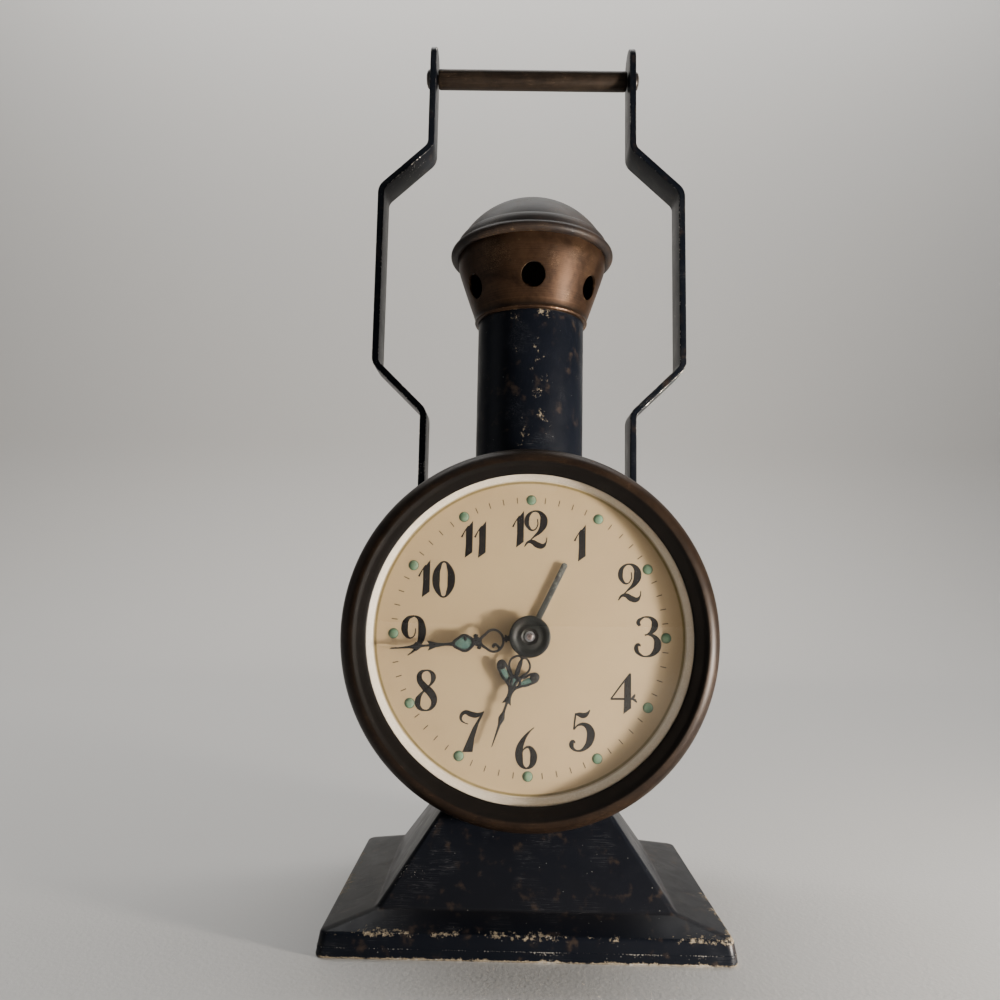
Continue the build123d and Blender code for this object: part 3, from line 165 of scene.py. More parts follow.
def rounded(piece: Piece, width: float, segments: int = 3, angle: float = 30.0) -> Piece:
    """Rounds every edge that is sharper than the angle, by a width in mm."""
    return modified(piece, "BEVEL", width=width * MM, segments=segments, limit_method="ANGLE",
                    angle_limit=math.radians(angle), use_clamp_overlap=True)


def thickened(piece: Piece, wall: float, offset: float = -1.0) -> Piece:
    """Gives a sheet its wall in mm; offset -1 puts it behind the sheet and 0 on both sides."""
    return modified(piece, "SOLIDIFY", thickness=wall * MM, offset=offset, use_even_offset=True)


def cut(piece: Piece, tool: Piece) -> Piece:
    """Takes the tool's shape out of the piece, throws the tool away and returns the piece."""
    modified(piece, "BOOLEAN", operation="DIFFERENCE", solver="EXACT", object=tool)
    bpy.data.objects.remove(tool)
    return piece


def outward(piece: Piece) -> Piece:
    """Merges doubled vertices and turns every face outwards.

    Args:
        piece: The mesh.

    Returns:
        The same piece.
    """
    with editing(piece, everything):
        bpy.ops.mesh.remove_doubles(threshold=MERGE_GAP * MM)
        bpy.ops.mesh.normals_make_consistent(inside=False)
    return piece


def joined(name: str, pieces: Sequence[Piece]) -> Piece:
    """Joins pieces into one.

    Args:
        name: The name of the result.
        pieces: What to join, the one that takes the rest first.

    Returns:
        The joined piece.
    """
    first = only(pieces[0])
    for piece in pieces[1:]:
        piece.select_set(True)
    if len(pieces) > 1:
        bpy.ops.object.join()
    first.name = first.data.name = name
    return first


def copied(piece: Piece, move: Matrix) -> Piece:
    """Copies a piece with its mesh.

    Args:
        piece: What to copy.
        move: Where the copy's mesh goes.

    Returns:
        The copy.
    """
    only(piece)
    bpy.ops.object.duplicate(linked=False)
    twin = bpy.context.view_layer.objects.active
    twin.data.transform(move)
    return twin


def repeated(name: str, pattern: Piece, moves: Iterable[Matrix]) -> Piece:
    """Copies a pattern to several places, joins the copies and throws the pattern away.

    Args:
        name: The name of the result.
        pattern: The piece to copy.
        moves: Where each copy's mesh goes.

    Returns:
        The joined copies.
    """
    copies = [copied(pattern, move) for move in moves]
    bpy.data.objects.remove(pattern)
    return joined(name, copies)


def faired(piece: Piece, angle: float) -> Piece:
    """Smooths the shading and stores how far each vertex stands on an edge or in a crease, for the wear on
    edges and the darkening of creases.

    Args:
        piece: The finished mesh.
        angle: The sharpest bend in degrees that is shaded smooth.

    Returns:
        The same piece.
    """
    only(piece)
    bpy.ops.object.shade_smooth_by_angle(angle=math.radians(angle))
    mesh = bmesh.new()
    mesh.from_mesh(piece.data)
    edge_layer = mesh.verts.layers.float.new("edge")
    crease_layer = mesh.verts.layers.float.new("crease")
    for vertex in mesh.verts:
        bends = [line.calc_face_angle_signed(0.0) for line in vertex.link_edges if len(line.link_faces) == 2]
        vertex[edge_layer] = min(1.0, max([0.0] + bends) / FULL_WEAR_BEND)
        vertex[crease_layer] = min(1.0, -min([0.0] + bends) / FULL_WEAR_BEND)
    mesh.to_mesh(piece.data)
    mesh.free()
    return piece


# Modelling by hand

def traced(name: str, path: Sequence[Vector]) -> Piece:
    """A chain of edges, drawn by extruding one vertex from place to place.

    Args:
        name: The piece's name.
        path: Places in metres.

    Returns:
        The piece with its chain.
    """
    piece = added(bpy.ops.mesh.primitive_plane_add, size=MM)
    piece.name = name
    with editing(piece, everything):
        bpy.ops.mesh.merge(type="CENTER")
        bpy.ops.transform.translate(value=path[0])
        for here, there in zip(path, path[1:]):
            bpy.ops.mesh.extrude_region_move(TRANSFORM_OT_translate={"value": tuple(there - here)})
    return piece


@dataclass(frozen=True)
class Spindle:
    """An axis that pieces are turned on, in mm."""

    origin: Triple
    along: Triple
    out: Triple

    def place(self, radius: float, height: float) -> Vector:
        """The place of a point of an outline, in metres."""
        return (Vector(self.origin) + Vector(self.out) * radius + Vector(self.along) * height) * MM


DIAL_AXIS = Spindle((0.0, 0.0, 0.0), (0.0, 0.0, 1.0), (1.0, 0.0, 0.0))
CHIMNEY_AXIS = Spindle((0.0, CHIMNEY_Y, 0.0), (0.0, 0.0, 1.0), (1.0, 0.0, 0.0))
GRIP_AXIS = Spindle((0.0, STRAP_Y, GRIP_Z), (1.0, 0.0, 0.0), (0.0, 0.0, 1.0))


def rear_axis(x: float, z: float) -> Spindle:
    """A spindle parallel to the drum's axis through a spot given from that axis."""
    return Spindle((x, 0.0, DRUM_Z + z), (0.0, 1.0, 0.0), (1.0, 0.0, 0.0))


DRUM_AXIS = rear_axis(0.0, 0.0)


def stations(outline: Sequence[Pair], longest: float) -> list[Pair]:
    """Splits an outline's long runs, so that wear marks stay near their edges.

    Args:
        outline: Points (radius, height) in mm.
        longest: The longest run in mm that stays whole.

    Returns:
        The outline with the points between.
    """
    points: list[Pair] = [outline[0]]
    for (r0, h0), (r1, h1) in zip(outline, outline[1:]):
        count = max(1, math.ceil(math.hypot(r1 - r0, h1 - h0) / longest))
        points += [(r0 + (r1 - r0) * i / count, h0 + (h1 - h0) * i / count) for i in range(1, count + 1)]
    return points


def arc(centre: Pair, radius: float, start: float, end: float, count: int) -> list[Pair]:
    """Points of an arc between two angles in degrees, in a number of steps."""
    turns = [math.radians(start + (end - start) * i / count) for i in range(count + 1)]
    return [(centre[0] + radius * math.cos(t), centre[1] + radius * math.sin(t)) for t in turns]


def dome(radius: float, rim: float, top: float, count: int) -> list[Pair]:
    """The outline of a dome, from its rim to its pole on the axis.

    Args:
        radius: Radius of the rim in mm.
        rim: Height of the rim.
        top: Height of the pole.
        count: Steps from rim to pole.

    Returns:
        Points (radius, height), closer together near the rim.
    """
    rise = top - rim
    ball = (radius * radius + rise * rise) / (2.0 * abs(rise))
    sign = math.copysign(1.0, rise)
    points = []
    for i in range(count + 1):
        r = radius * math.cos(math.pi / 2 * i / count) if i < count else 0.0
        points.append((r, top - sign * (ball - math.sqrt(ball * ball - r * r))))
    return points


def turned(name: str, outline: Sequence[Pair], spindle: Spindle, steps: int, longest: float,
           closed: bool = True, round_by: float = 0.0) -> Piece:
    """A piece turned on a lathe.

    Args:
        name: The piece's name.
        outline: Points (radius, height) in mm.
        spindle: The axis.
        steps: Steps of the full turn.
        longest: Longest run of the outline in mm before it is split.
        closed: Whether the outline returns to its start.
        round_by: Width of the rounding of its sharp edges in mm.

    Returns:
        The turned piece.
    """
    ring = list(outline) + ([outline[0]] if closed else [])
    piece = traced(name, [spindle.place(r, h) for r, h in stations(ring, longest)])
    with editing(piece, everything):
        bpy.ops.mesh.spin(steps=steps, angle=FULL_TURN, center=Vector(spindle.origin) * MM,
                          axis=spindle.along)
    outward(piece)
    return rounded(piece, round_by) if round_by > 0.0 else piece


def drilled(piece: Piece, spindle: Spindle, radius: float, low: float, high: float, sides: int = 32) -> Piece:
    """Takes a round bore out of a piece.

    Args:
        piece: What is bored.
        spindle: The bore's axis.
        radius: The bore's radius in mm.
        low: Where the bore starts along its axis.
        high: Where it ends.
        sides: Sides of the drill.

    Returns:
        The same piece.
    """
    outline = [(0.0, low), (radius, low), (radius, high), (0.0, high)]
    return cut(piece, turned("drill", outline, spindle, sides, high - low, closed=False))


def saddled(piece: Piece) -> Piece:
    """Cuts a piece to lie against the drum."""
    return drilled(piece, DRUM_AXIS, DRUM_R, -60.0, 50.0, 256)


def plate(size: Pair, corner: float, bottom: float, top: float, centre: Pair = (0.0, 0.0)) -> Piece:
    """A flat plate with round corners, drawn flat and pulled up.

    Args:
        size: Width and depth in mm.
        corner: Radius of its corners.
        bottom: Level of its underside.
        top: Level of its upper side.
        centre: Place (x, y) of its middle.

    Returns:
        The plate.
    """
    piece = added(bpy.ops.mesh.primitive_plane_add, size=1.0)
    with editing(piece, everything):
        bpy.ops.transform.resize(value=(size[0] * MM, size[1] * MM, 1.0), center_override=(0, 0, 0))
        bpy.ops.transform.translate(value=mm(*centre, bottom))
        bpy.ops.mesh.bevel(offset=corner * MM, segments=8, affect="VERTICES")
        bpy.ops.mesh.select_all(action="SELECT")
        pulled(0.0, 0.0, top - bottom)
    return outward(piece)


# Pen strokes, for the printed numbers and the pierced hands

@dataclass(frozen=True)
class Stroke:
    """A stroke of changing width: points (x, y, width) in mm, joined smoothly."""

    path: tuple[Triple, ...]
    closed: bool = False


@dataclass(frozen=True)
class Patch:
    """A filled outline with straight sides: corners (x, y) in mm."""

    corners: tuple[Pair, ...]


Mark = Union[Stroke, Patch]


def even(*half: Pair) -> Patch:
    """A patch that is the same on both sides of the line y 0, from its corners on one side."""
    return Patch(half + tuple((x, -y) for x, y in reversed(half)))


def square_nib() -> Piece:
    """The one millimetre square that strokes are swept with, made once."""
    nib = bpy.data.objects.get("pen_nib")
    if nib is None:
        shape = bpy.data.curves.new("pen_nib", "CURVE")
        shape.dimensions = "2D"
        poly_line(shape, ((-0.5, -0.5), (0.5, -0.5), (0.5, 0.5), (-0.5, 0.5)))
        nib = bpy.data.objects.new("pen_nib", shape)
        bpy.context.scene.collection.objects.link(nib)
    return nib


def poly_line(shape: bpy.types.Curve, corners: Sequence[Pair]) -> None:
    """Adds a closed straight-sided line to a curve.

    Args:
        shape: The curve.
        corners: Corners (x, y) in mm.
    """
    line = shape.splines.new("POLY")
    line.points.add(len(corners) - 1)
    for point, (x, y) in zip(line.points, corners):
        point.co = (x * MM, y * MM, 0.0, 1.0)
    line.use_cyclic_u = True


def pen_line(shape: bpy.types.Curve, stroke: Stroke, bold: Pair) -> None:
    """Adds a stroke to a curve, swept with the square nib.

    Args:
        shape: The curve.
        stroke: The stroke.
        bold: What its widths are multiplied by, and what is then added in mm.
    """
    shape.dimensions = "3D"
    shape.twist_mode = "Z_UP"
    shape.bevel_mode = "OBJECT"
    shape.bevel_object = square_nib()
    shape.use_fill_caps = not stroke.closed
    shape.resolution_u = 7
    line = shape.splines.new("BEZIER")
    line.bezier_points.add(len(stroke.path) - 1)
    line.radius_interpolation = "CARDINAL"
    for point, (x, y, width) in zip(line.bezier_points, stroke.path):
        point.co = mm(x, y, 0.0)
        point.radius = width * bold[0] + bold[1]
        point.handle_left_type = point.handle_right_type = "AUTO"
    line.use_cyclic_u = stroke.closed


def drawn(mark: Mark, thickness: float, bold: Pair) -> Piece:
    """One mark as a flat plate in the XY plane, its back at z 0.

    Args:
        mark: The stroke or filled outline.
        thickness: The plate's thickness in mm.
        bold: What a stroke's widths are multiplied by, and what is then added in mm.

    Returns:
        The mark as a mesh.
    """
    shape = bpy.data.curves.new("mark", "CURVE")
    if isinstance(mark, Stroke):
        pen_line(shape, mark, bold)
    else:
        shape.dimensions = "2D"
        shape.fill_mode = "BOTH"
        shape.extrude = thickness / 2 * MM
        poly_line(shape, mark.corners)
    piece = bpy.data.objects.new("mark", shape)
    bpy.context.scene.collection.objects.link(piece)
    only(piece)
    bpy.ops.object.convert(target="MESH")
    piece = bpy.context.view_layer.objects.active
    for side in (1.0, -1.0):
        with editing(piece, lambda place: place.z * side > 0.0):
            level = (0.0, 0.0, side * thickness / 2 * MM)
            bpy.ops.transform.resize(value=(1.0, 1.0, 0.0), center_override=level)
    outward(piece)
    piece.data.transform(Matrix.Translation(mm(0.0, 0.0, thickness / 2)))
    return piece


def penned(name: str, marks: Sequence[Mark], thickness: float, step: float, bold: Pair = (1.0, 0.0)) -> Piece:
    """Joins marks into one piece; each stands a step higher than the last, so that no faces coincide."""
    return joined(name, [drawn(mark, thickness + step * i, bold) for i, mark in enumerate(marks)])


def on_dial(x: float, z: float, level: float, turn: float = 0.0) -> Matrix:
    """Stands a flat drawing up on the dial.

    Args:
        x: Place across the dial in mm.
        z: Place up from the drum's axis in mm.
        level: Final y of the drawing's back, in mm.
        turn: Anticlockwise turn in degrees, seen from the front.

    Returns:
        The matrix for the drawing's mesh.
    """
    up = Matrix.Rotation(math.pi / 2, 4, "X")
    spin = Matrix.Rotation(math.radians(turn), 4, "Z")
    return Matrix.Translation(mm(x, level, DRUM_Z + z)) @ up @ spin


# Node trees

Value = Union[float, "Wire"]
Colour = Union[Triple, "Wire"]


class Wire:
    """One output of a node, with arithmetic that adds Math nodes."""

    def __init__(self, bench: "Bench", socket: bpy.types.NodeSocket) -> None:
        """Wraps a socket of a bench's tree."""
        self.bench = bench
        self.socket = socket

    def _maths(self, operation: str, *values: Value) -> "Wire":
        """Adds a Math node on the given values."""
        made = self.bench.node("ShaderNodeMath", {"operation": operation}, dict(enumerate(values)))
        return Wire(self.bench, made.outputs[0])

    def __add__(self, other: Value) -> "Wire":
        """Sum."""
        return self._maths("ADD", self, other)

    __radd__ = __add__

    def __sub__(self, other: Value) -> "Wire":
        """Difference."""
        return self._maths("SUBTRACT", self, other)

    def __rsub__(self, other: Value) -> "Wire":
        """Difference from a number."""
        return self._maths("SUBTRACT", other, self)

    def __mul__(self, other: Value) -> "Wire":
        """Product."""
        return self._maths("MULTIPLY", self, other)

    __rmul__ = __mul__

    def root(self) -> "Wire":
        """Square root."""
        return self._maths("SQRT", self)

    def size(self) -> "Wire":
        """Absolute value."""
        return self._maths("ABSOLUTE", self)

    def top(self, other: Value) -> "Wire":
        """The larger of two values."""
        return self._maths("MAXIMUM", self, other)

    def step(self, low: float, high: float) -> "Wire":
        """A soft step between two values.

        Args:
            low: Where the step gives 0.
            high: Where it gives 1; it may be the smaller of the two.

        Returns:
            The step, 0 to 1.
        """
        ends = (low, high, 0.0, 1.0) if low < high else (high, low, 1.0, 0.0)
        inputs = dict(zip(("From Min", "From Max", "To Min", "To Max"), ends))
        made = self.bench.node("ShaderNodeMapRange", {"interpolation_type": "SMOOTHSTEP"},
                               {"Value": self, **inputs})
        return Wire(self.bench, made.outputs[0])


class Bench:
    """The node tree of one material."""

    def __init__(self, material: bpy.types.Material) -> None:
        """Clears a material's tree and adds its output.

        Args:
            material: The material.
        """
        material.use_nodes = True
        self.tree = material.node_tree
        self.tree.nodes.clear()
        self.output = self.node("ShaderNodeOutputMaterial")
        place = self.node("ShaderNodeTexCoord").outputs["Object"]
        grown = self.node("ShaderNodeVectorMath", {"operation": "SCALE"}, {0: place, "Scale": 1.0 / MM})
        self.place = grown.outputs[0]
        parts = self.node("ShaderNodeSeparateXYZ", None, {0: self.place})
        self.x, self.y, self.z = (Wire(self, parts.outputs[i]) for i in range(3))

    def node(self, kind: str, settings: Optional[dict] = None,
             inputs: Optional[dict] = None) -> bpy.types.Node:
        """Adds any node.

        Args:
            kind: The node's type.
            settings: Its settings, set first.
            inputs: Values or links of its sockets, by name or number.

        Returns:
            The node.
        """
        made = self.tree.nodes.new(kind)
        for name, value in (settings or {}).items():
            setattr(made, name, value)
        for name, value in (inputs or {}).items():
            socket = made.inputs[name]
            if isinstance(value, Wire):
                self.tree.links.new(value.socket, socket)
            elif isinstance(value, bpy.types.NodeSocket):
                self.tree.links.new(value, socket)
            elif isinstance(value, tuple) and socket.type == "RGBA":
                socket.default_value = (*value, 1.0)
            else:
                socket.default_value = value
        return made

    def attribute(self, name: str) -> Wire:
        """A number stored on the mesh; 0 where the mesh has none."""
        return Wire(self, self.node("ShaderNodeAttribute", {"attribute_name": name}).outputs["Fac"])

    def drum_radius(self) -> Wire:
        """Distance from the drum's axis in mm."""
        up = self.z - DRUM_Z
        return (self.x * self.x + up * up).root()

    def stretched(self, scale: Triple, turn: Triple = (0.0, 0.0, 0.0)) -> bpy.types.NodeSocket:
        """The place in mm, turned by degrees and stretched, for grain and scratches."""
        angles = tuple(math.radians(a) for a in turn)
        made = self.node("ShaderNodeMapping", None,
                         {"Vector": self.place, "Rotation": angles, "Scale": scale})
        return made.outputs[0]

    def rings(self, along: Wire, radius: Wire, scale: float) -> Wire:
        """Fine turning marks round an axis, from the height and radius of the surface."""
        made = self.node("ShaderNodeCombineXYZ", None, {0: along * scale, 1: radius * scale, 2: 0.0})
        return self.noise(1.0, 3.0, vector=made.outputs[0])

    def noise(self, scale: float, detail: float = 3.0, rough: float = 0.55, warp: float = 0.0,
              vector: Optional[bpy.types.NodeSocket] = None) -> Wire:
        """Noise from 0 to 1.

        Args:
            scale: Its scale per mm of the surface.
            detail: Its number of octaves.
            rough: How strong the finer octaves are.
            warp: How far it is distorted.
            vector: Where it is looked up, if not at the place itself.

        Returns:
            The noise.
        """
        made = self.node("ShaderNodeTexNoise", None,
                         {"Vector": vector or self.place, "Scale": scale, "Detail": detail,
                          "Roughness": rough, "Distortion": warp})
        return Wire(self, made.outputs[0])

    def cells(self, scale: float, feature: str = "F1") -> Wire:
        """Distance to the nearest of scattered points, its scale per mm."""
        made = self.node("ShaderNodeTexVoronoi", {"feature": feature}, {"Vector": self.place, "Scale": scale})
        return Wire(self, made.outputs["Distance"])

    def specks(self, scale: float, ends: Pair, clump: float, share: Pair) -> Wire:
        """Round specks that gather in clumps.

        Args:
            scale: Specks per mm.
            ends: Where a speck fades out and where it is full, as shares of a cell.
            clump: The clumps' scale per mm.
            share: The step of the clumps' noise, which says how much of the surface they take.

        Returns:
            The mask of the specks.
        """
        return self.cells(scale).step(*ends) * self.noise(clump, 2.0).step(*share)

    def blend(self, mask: Value, low: Colour, high: Colour) -> Wire:
        """Mixes two colours by a mask."""
        made = self.node("ShaderNodeMix", {"data_type": "RGBA"}, {0: mask, 6: low, 7: high})
        return Wire(self, made.outputs[2])

    def coats(self, colour: Colour, *coats: tuple[Value, Colour]) -> Colour:
        """Lays coats over a colour.

        Args:
            colour: What lies beneath.
            *coats: The mask and the colour of each coat, from the lowest up.

        Returns:
            The colour that shows.
        """
        for mask, coat in coats:
            colour = self.blend(mask, colour, coat)
        return colour

    def bump(self, height: Wire, depth: float) -> bpy.types.NodeSocket:
        """A bump of a height from 0 to 1, its depth in mm."""
        made = self.node("ShaderNodeBump", None, {"Strength": 1.0, "Distance": depth * MM, "Height": height})
        return made.outputs[0]

    def scratches(self, density: float = 1.0) -> Wire:
        """Thin lines in three directions.

        Args:
            density: How wide the lines are, from 0 up.

        Returns:
            The mask of the lines.
        """
        lines: Optional[Wire] = None
        ways = (((20.0, 35.0, 10.0), 2.6), ((-30.0, 5.0, 60.0), 3.1), ((60.0, -25.0, -40.0), 2.2))
        for turn, scale in ways:
            grain = self.noise(scale, 1.0, 0.4, vector=self.stretched((0.03, 1.0, 1.0), turn))
            line = (grain - 0.5).size().step(0.012 * density, 0.0) * self.noise(0.12, 2.0).step(0.5, 0.68)
            lines = line if lines is None else lines.top(line)
        return lines

    def shown(self, shader: bpy.types.Node) -> None:
        """Links a shader to the material's output."""
        self.tree.links.new(shader.outputs[0], self.output.inputs[0])

    def shine(self, **sockets: object) -> None:
        """Ends the tree in a Principled BSDF with the named sockets."""
        named = {name.replace("_", " "): value for name, value in sockets.items()}
        self.shown(self.node("ShaderNodeBsdfPrincipled", None, named))


# Finishes

class Wear(Enum):
    """Where a painted piece has lost its paint."""

    PLAIN = "plain"
    BASE = "base"
    CHIMNEY = "chimney"
    STRAP = "strap"


class Lay(Enum):
    """Which way a metal's grain runs."""

    ROUND_DRUM = "round the drum's axis"
    ROUND_CHIMNEY = "round the chimney's axis"
    LENGTHWISE = "along X"
    EVEN = "no grain"


@dataclass(frozen=True)
class Finish:
    """A surface finish that becomes a material on its first use."""

    name: str

    def shade(self, bench: Bench) -> None:
        """Builds the node tree on a bench."""
        raise NotImplementedError

    def material(self) -> bpy.types.Material:
        """The finish's material."""
        title = f"{self.name}_finish"
        made = bpy.data.materials.get(title)
        if made is None:
            made = bpy.data.materials.new(title)
            self.shade(Bench(made))
        return made

    def on(self, piece: Piece) -> None:
        """Puts the finish on a piece."""
        piece.data.materials.clear()
        piece.data.materials.append(self.material())


@dataclass(frozen=True)
class Enamel(Finish):
    """Old black enamel: a bluish reflection painted into its colour, chips to metal, brown stains, rubbed
    edges and dust.
    """

    wear: Wear = Wear.PLAIN
    rub: float = 0.6
    # The blue tint of this black is a painted reflection of bluish light.
    paint: Triple = (0.0024, 0.0031, 0.0052)
    chip: Triple = (0.30, 0.245, 0.17)
    metal: Triple = (0.52, 0.49, 0.44)
    brown: Triple = (0.045, 0.031, 0.022)
    scratch: Triple = (0.10, 0.10, 0.105)
    dust: Triple = (0.30, 0.30, 0.28)
    crease_dark: Triple = (0.02, 0.017, 0.014)
    gloss: float = 0.13
    saddle: Pair = (52.0, 60.0)

    def zone(self, bench: Bench) -> Wire:
        """How readily the paint chips at each place, 0 to 1.

        Args:
            bench: The material's tree.

        Returns:
            What is added to the noise that chips the paint.
        """
        if self.wear is Wear.CHIMNEY:
            front = bench.x.size().step(9.0, 2.0) * bench.y.step(-8.0, -13.0)
            clump = bench.noise(0.16, 2.0).step(0.44, 0.62)
            return front * (clump * 0.17 + 0.03) + bench.z.step(146.0, 155.0) * 0.05
        if self.wear is Wear.BASE:
            rim = (bench.z - 5.0).size().step(1.5, 0.2)
            clump = bench.noise(0.12, 2.0).step(0.36, 0.60)
            return rim * (clump * 0.14 + 0.05) + bench.z.step(1.4, 0.2) * 0.20
        if self.wear is Wear.STRAP:
            return bench.z.step(225.0, 250.0) * 0.05
        return bench.z * 0.0

    def shade(self, bench: Bench) -> None:
        """Builds the enamel; the base's edges along its saddle aren't rubbed.

        Args:
            bench: The material's tree.
        """
        edge = bench.attribute("edge")
        if self.wear is Wear.BASE:
            edge = edge * bench.drum_radius().step(*self.saddle)
        crease = bench.attribute("crease")
        blotch = bench.noise(0.10, 4.0)
        ragged = bench.noise(1.1, 5.0, 0.7)
        grit = bench.noise(2.6, 3.0, 0.6)
        reach = self.zone(bench) + edge * 0.16 * self.rub + (blotch - 0.5) * 0.16
        chips = (ragged * 0.72 + grit * 0.28 + reach).step(0.735, 0.765)
        bare = (edge * self.rub + (grit - 0.5) * 1.6 + (blotch - 0.5) * 1.2).step(0.80, 1.0)
        dust = bench.specks(0.62, (0.085, 0.03), 0.22, (0.52, 0.62))
        lines = bench.scratches()
        # Painted reflection: the bluish black is made lighter in patches.
        painted_sheen = bench.blend(bench.noise(0.045, 3.0), self.paint, tinted(self.paint, 1.9))
        stains = bench.noise(0.3, 5.0).step(0.56, 0.74) * 0.55
        primer = bench.blend(grit.step(0.35, 0.65), self.chip, tinted(self.chip, 0.35))
        # The last coat makes the creases darker.
        colour = bench.coats(painted_sheen, (stains, self.brown), (lines * 0.35, self.scratch),
                             (dust * 0.75, self.dust), (chips, primer), (bare, self.metal),
                             (crease * 0.5, self.crease_dark))
        rough = bench.noise(0.16, 5.0, 0.6, 0.6) * 0.26 + 0.22 + chips * 0.30 + dust * 0.25 + lines * 0.12
        relief = bench.noise(0.85, 2.0) * 0.10 - chips * 0.5 + grit * chips * 0.2 - lines * 0.08 + dust * 0.12
        bench.shine(Base_Color=colour, Roughness=rough, Metallic=bare * 0.85, Normal=bench.bump(relief, 0.09),
                    Specular_IOR_Level=self.gloss)


@dataclass(frozen=True)
class AgedMetal(Finish):
    """Old metal under worn lacquer: stains, pits, turning marks, rubbed edges, and darker in its creases."""

    bright: Triple
    dark: Triple
    stain: Triple = (0.05, 0.032, 0.020)
    lay: Lay = Lay.EVEN
    rough: Pair = (0.24, 0.46)
    stained: float = 0.5
    pitted: float = 0.5
    rub: float = 0.6
    grain: float = 0.5
    metal: float = 0.9
    rubbed: Triple = (0.62, 0.47, 0.32)
    pit: Triple = (0.018, 0.012, 0.009)
    crease_dark: Triple = (0.02, 0.014, 0.010)
    black: Triple = (0.004, 0.0035, 0.003)
    darkened_within_r: float = 0.0
    gloss: float = 0.17

    def marks(self, bench: Bench) -> Wire:
        """The grain that turning or rolling left.

        Args:
            bench: The material's tree.

        Returns:
            The height of the grain, 0 to 1.
        """
        if self.lay is Lay.ROUND_DRUM:
            return bench.rings(bench.y, bench.drum_radius(), 5.0)
        if self.lay is Lay.ROUND_CHIMNEY:
            back = bench.y - CHIMNEY_Y
            return bench.rings(bench.z, (bench.x * bench.x + back * back).root(), 4.0)
        if self.lay is Lay.LENGTHWISE:
            return bench.noise(3.0, 3.0, vector=bench.stretched((0.05, 1.0, 1.0)))
        return bench.noise(4.0, 3.0)

    def shade(self, bench: Bench) -> None:
        """Builds the metal, made nearly black inside a given radius from the drum's axis where it has one.

        Args:
            bench: The material's tree.
        """
        edge = bench.attribute("edge")
        crease = bench.attribute("crease")
        cloud = bench.noise(0.09, 5.0, 0.6, 0.8)
        mottle = bench.noise(0.75, 5.0, 0.65)
        marks = self.marks(bench)
        lines = bench.scratches()
        pits = bench.specks(0.55, (0.16, 0.06), 0.3, (0.46, 0.60)) * self.pitted
        stains = (cloud * 0.6 + mottle * 0.4).step(0.62 - 0.16 * self.stained, 0.74) * self.stained
        tone = (cloud * 0.55 + marks * 0.30 + mottle * 0.25).step(0.38, 0.74)
        rubbing = (edge * self.rub + (mottle - 0.5) * 1.1 + (cloud - 0.5) * 0.9).step(0.42, 0.85)
        # The last coat makes the creases darker.
        colour = bench.coats(self.dark, (tone, self.bright), (stains, self.stain),
                             (lines * 0.30, self.rubbed), (rubbing, self.rubbed), (pits, self.pit),
                             (crease.step(0.15, 0.8) * 0.75, self.crease_dark))
        # Nearly black inside a given radius from the drum's axis, which takes the bezel's inner slope.
        if self.darkened_within_r > 0.0:
            inside = bench.drum_radius().step(self.darkened_within_r + 0.5, self.darkened_within_r - 0.3)
            colour = bench.blend(inside * 0.88, colour, self.black)
        low, high = self.rough
        rough = (low + (high - low) * (mottle * 0.6 + cloud * 0.4) + stains * 0.16 + pits * 0.3
                 - rubbing * 0.06 + marks * 0.08)
        relief = marks * 0.22 * self.grain + mottle * 0.16 - pits * 0.6 - lines * 0.06 + stains * 0.05
        bench.shine(Base_Color=colour, Roughness=rough, Metallic=self.metal - stains * 0.35 - pits * 0.4,
                    Normal=bench.bump(relief, 0.06), Specular_IOR_Level=self.gloss)


@dataclass(frozen=True)
class DialPaint(Finish):
    """Matt paint of the dial, with its gilt line and paler margin, and the yellowing of age."""

    cream: Triple = (0.256, 0.182, 0.097)
    pale: Triple = (0.300, 0.245, 0.170)
    gilt: Triple = (0.085, 0.060, 0.020)
    foxing: Triple = (0.28, 0.19, 0.09)
    fibre: Triple = (0.24, 0.18, 0.11)
    speck: Triple = (0.20, 0.13, 0.07)
    line_r: float = 36.85
    line_w: float = 0.56
    line_blur: float = 0.03
    margin: bool = True
    matt: float = 0.46

    def shade(self, bench: Bench) -> None:
        """Builds the paint.

        Args:
            bench: The material's tree.
        """
        radius = bench.drum_radius()
        age = bench.noise(0.055, 4.0, 0.6)
        fine = bench.noise(2.4, 4.0, 0.6)
        specks = bench.specks(0.33, (0.055, 0.02), 0.15, (0.55, 0.62))
        ground = self.cream if self.margin else self.pale
        colour = bench.coats(ground, (age.step(0.30, 0.75), tinted(ground, 0.93)),
                             (radius.step(30.0, 38.0) * age * 0.30, self.foxing),
                             ((fine - 0.5).size().step(0.02, 0.2) * 0.10, self.fibre),
                             (specks * 0.6, self.speck))
        rough = fine * 0.16 + self.matt
        relief = fine * 0.3 + bench.noise(0.5, 2.0) * 0.2
        if self.margin:
            half, blur = self.line_w / 2, self.line_blur
            outside = radius.step(self.line_r + half - blur, self.line_r + half + blur)
            line = (radius - self.line_r).size().step(half + blur, half - blur)
            gilt = bench.blend(bench.noise(0.9, 4.0), self.gilt, tinted(self.gilt, 1.9))
            worn_line = line * (fine.step(0.22, 0.40) * 0.35 + 0.65)
            colour = bench.coats(colour, (outside, self.pale), (worn_line, gilt))
            rough = rough - line * 0.14
            relief = relief + line * 0.5
        bench.shine(Base_Color=colour, Roughness=rough, Normal=bench.bump(relief, 0.02))


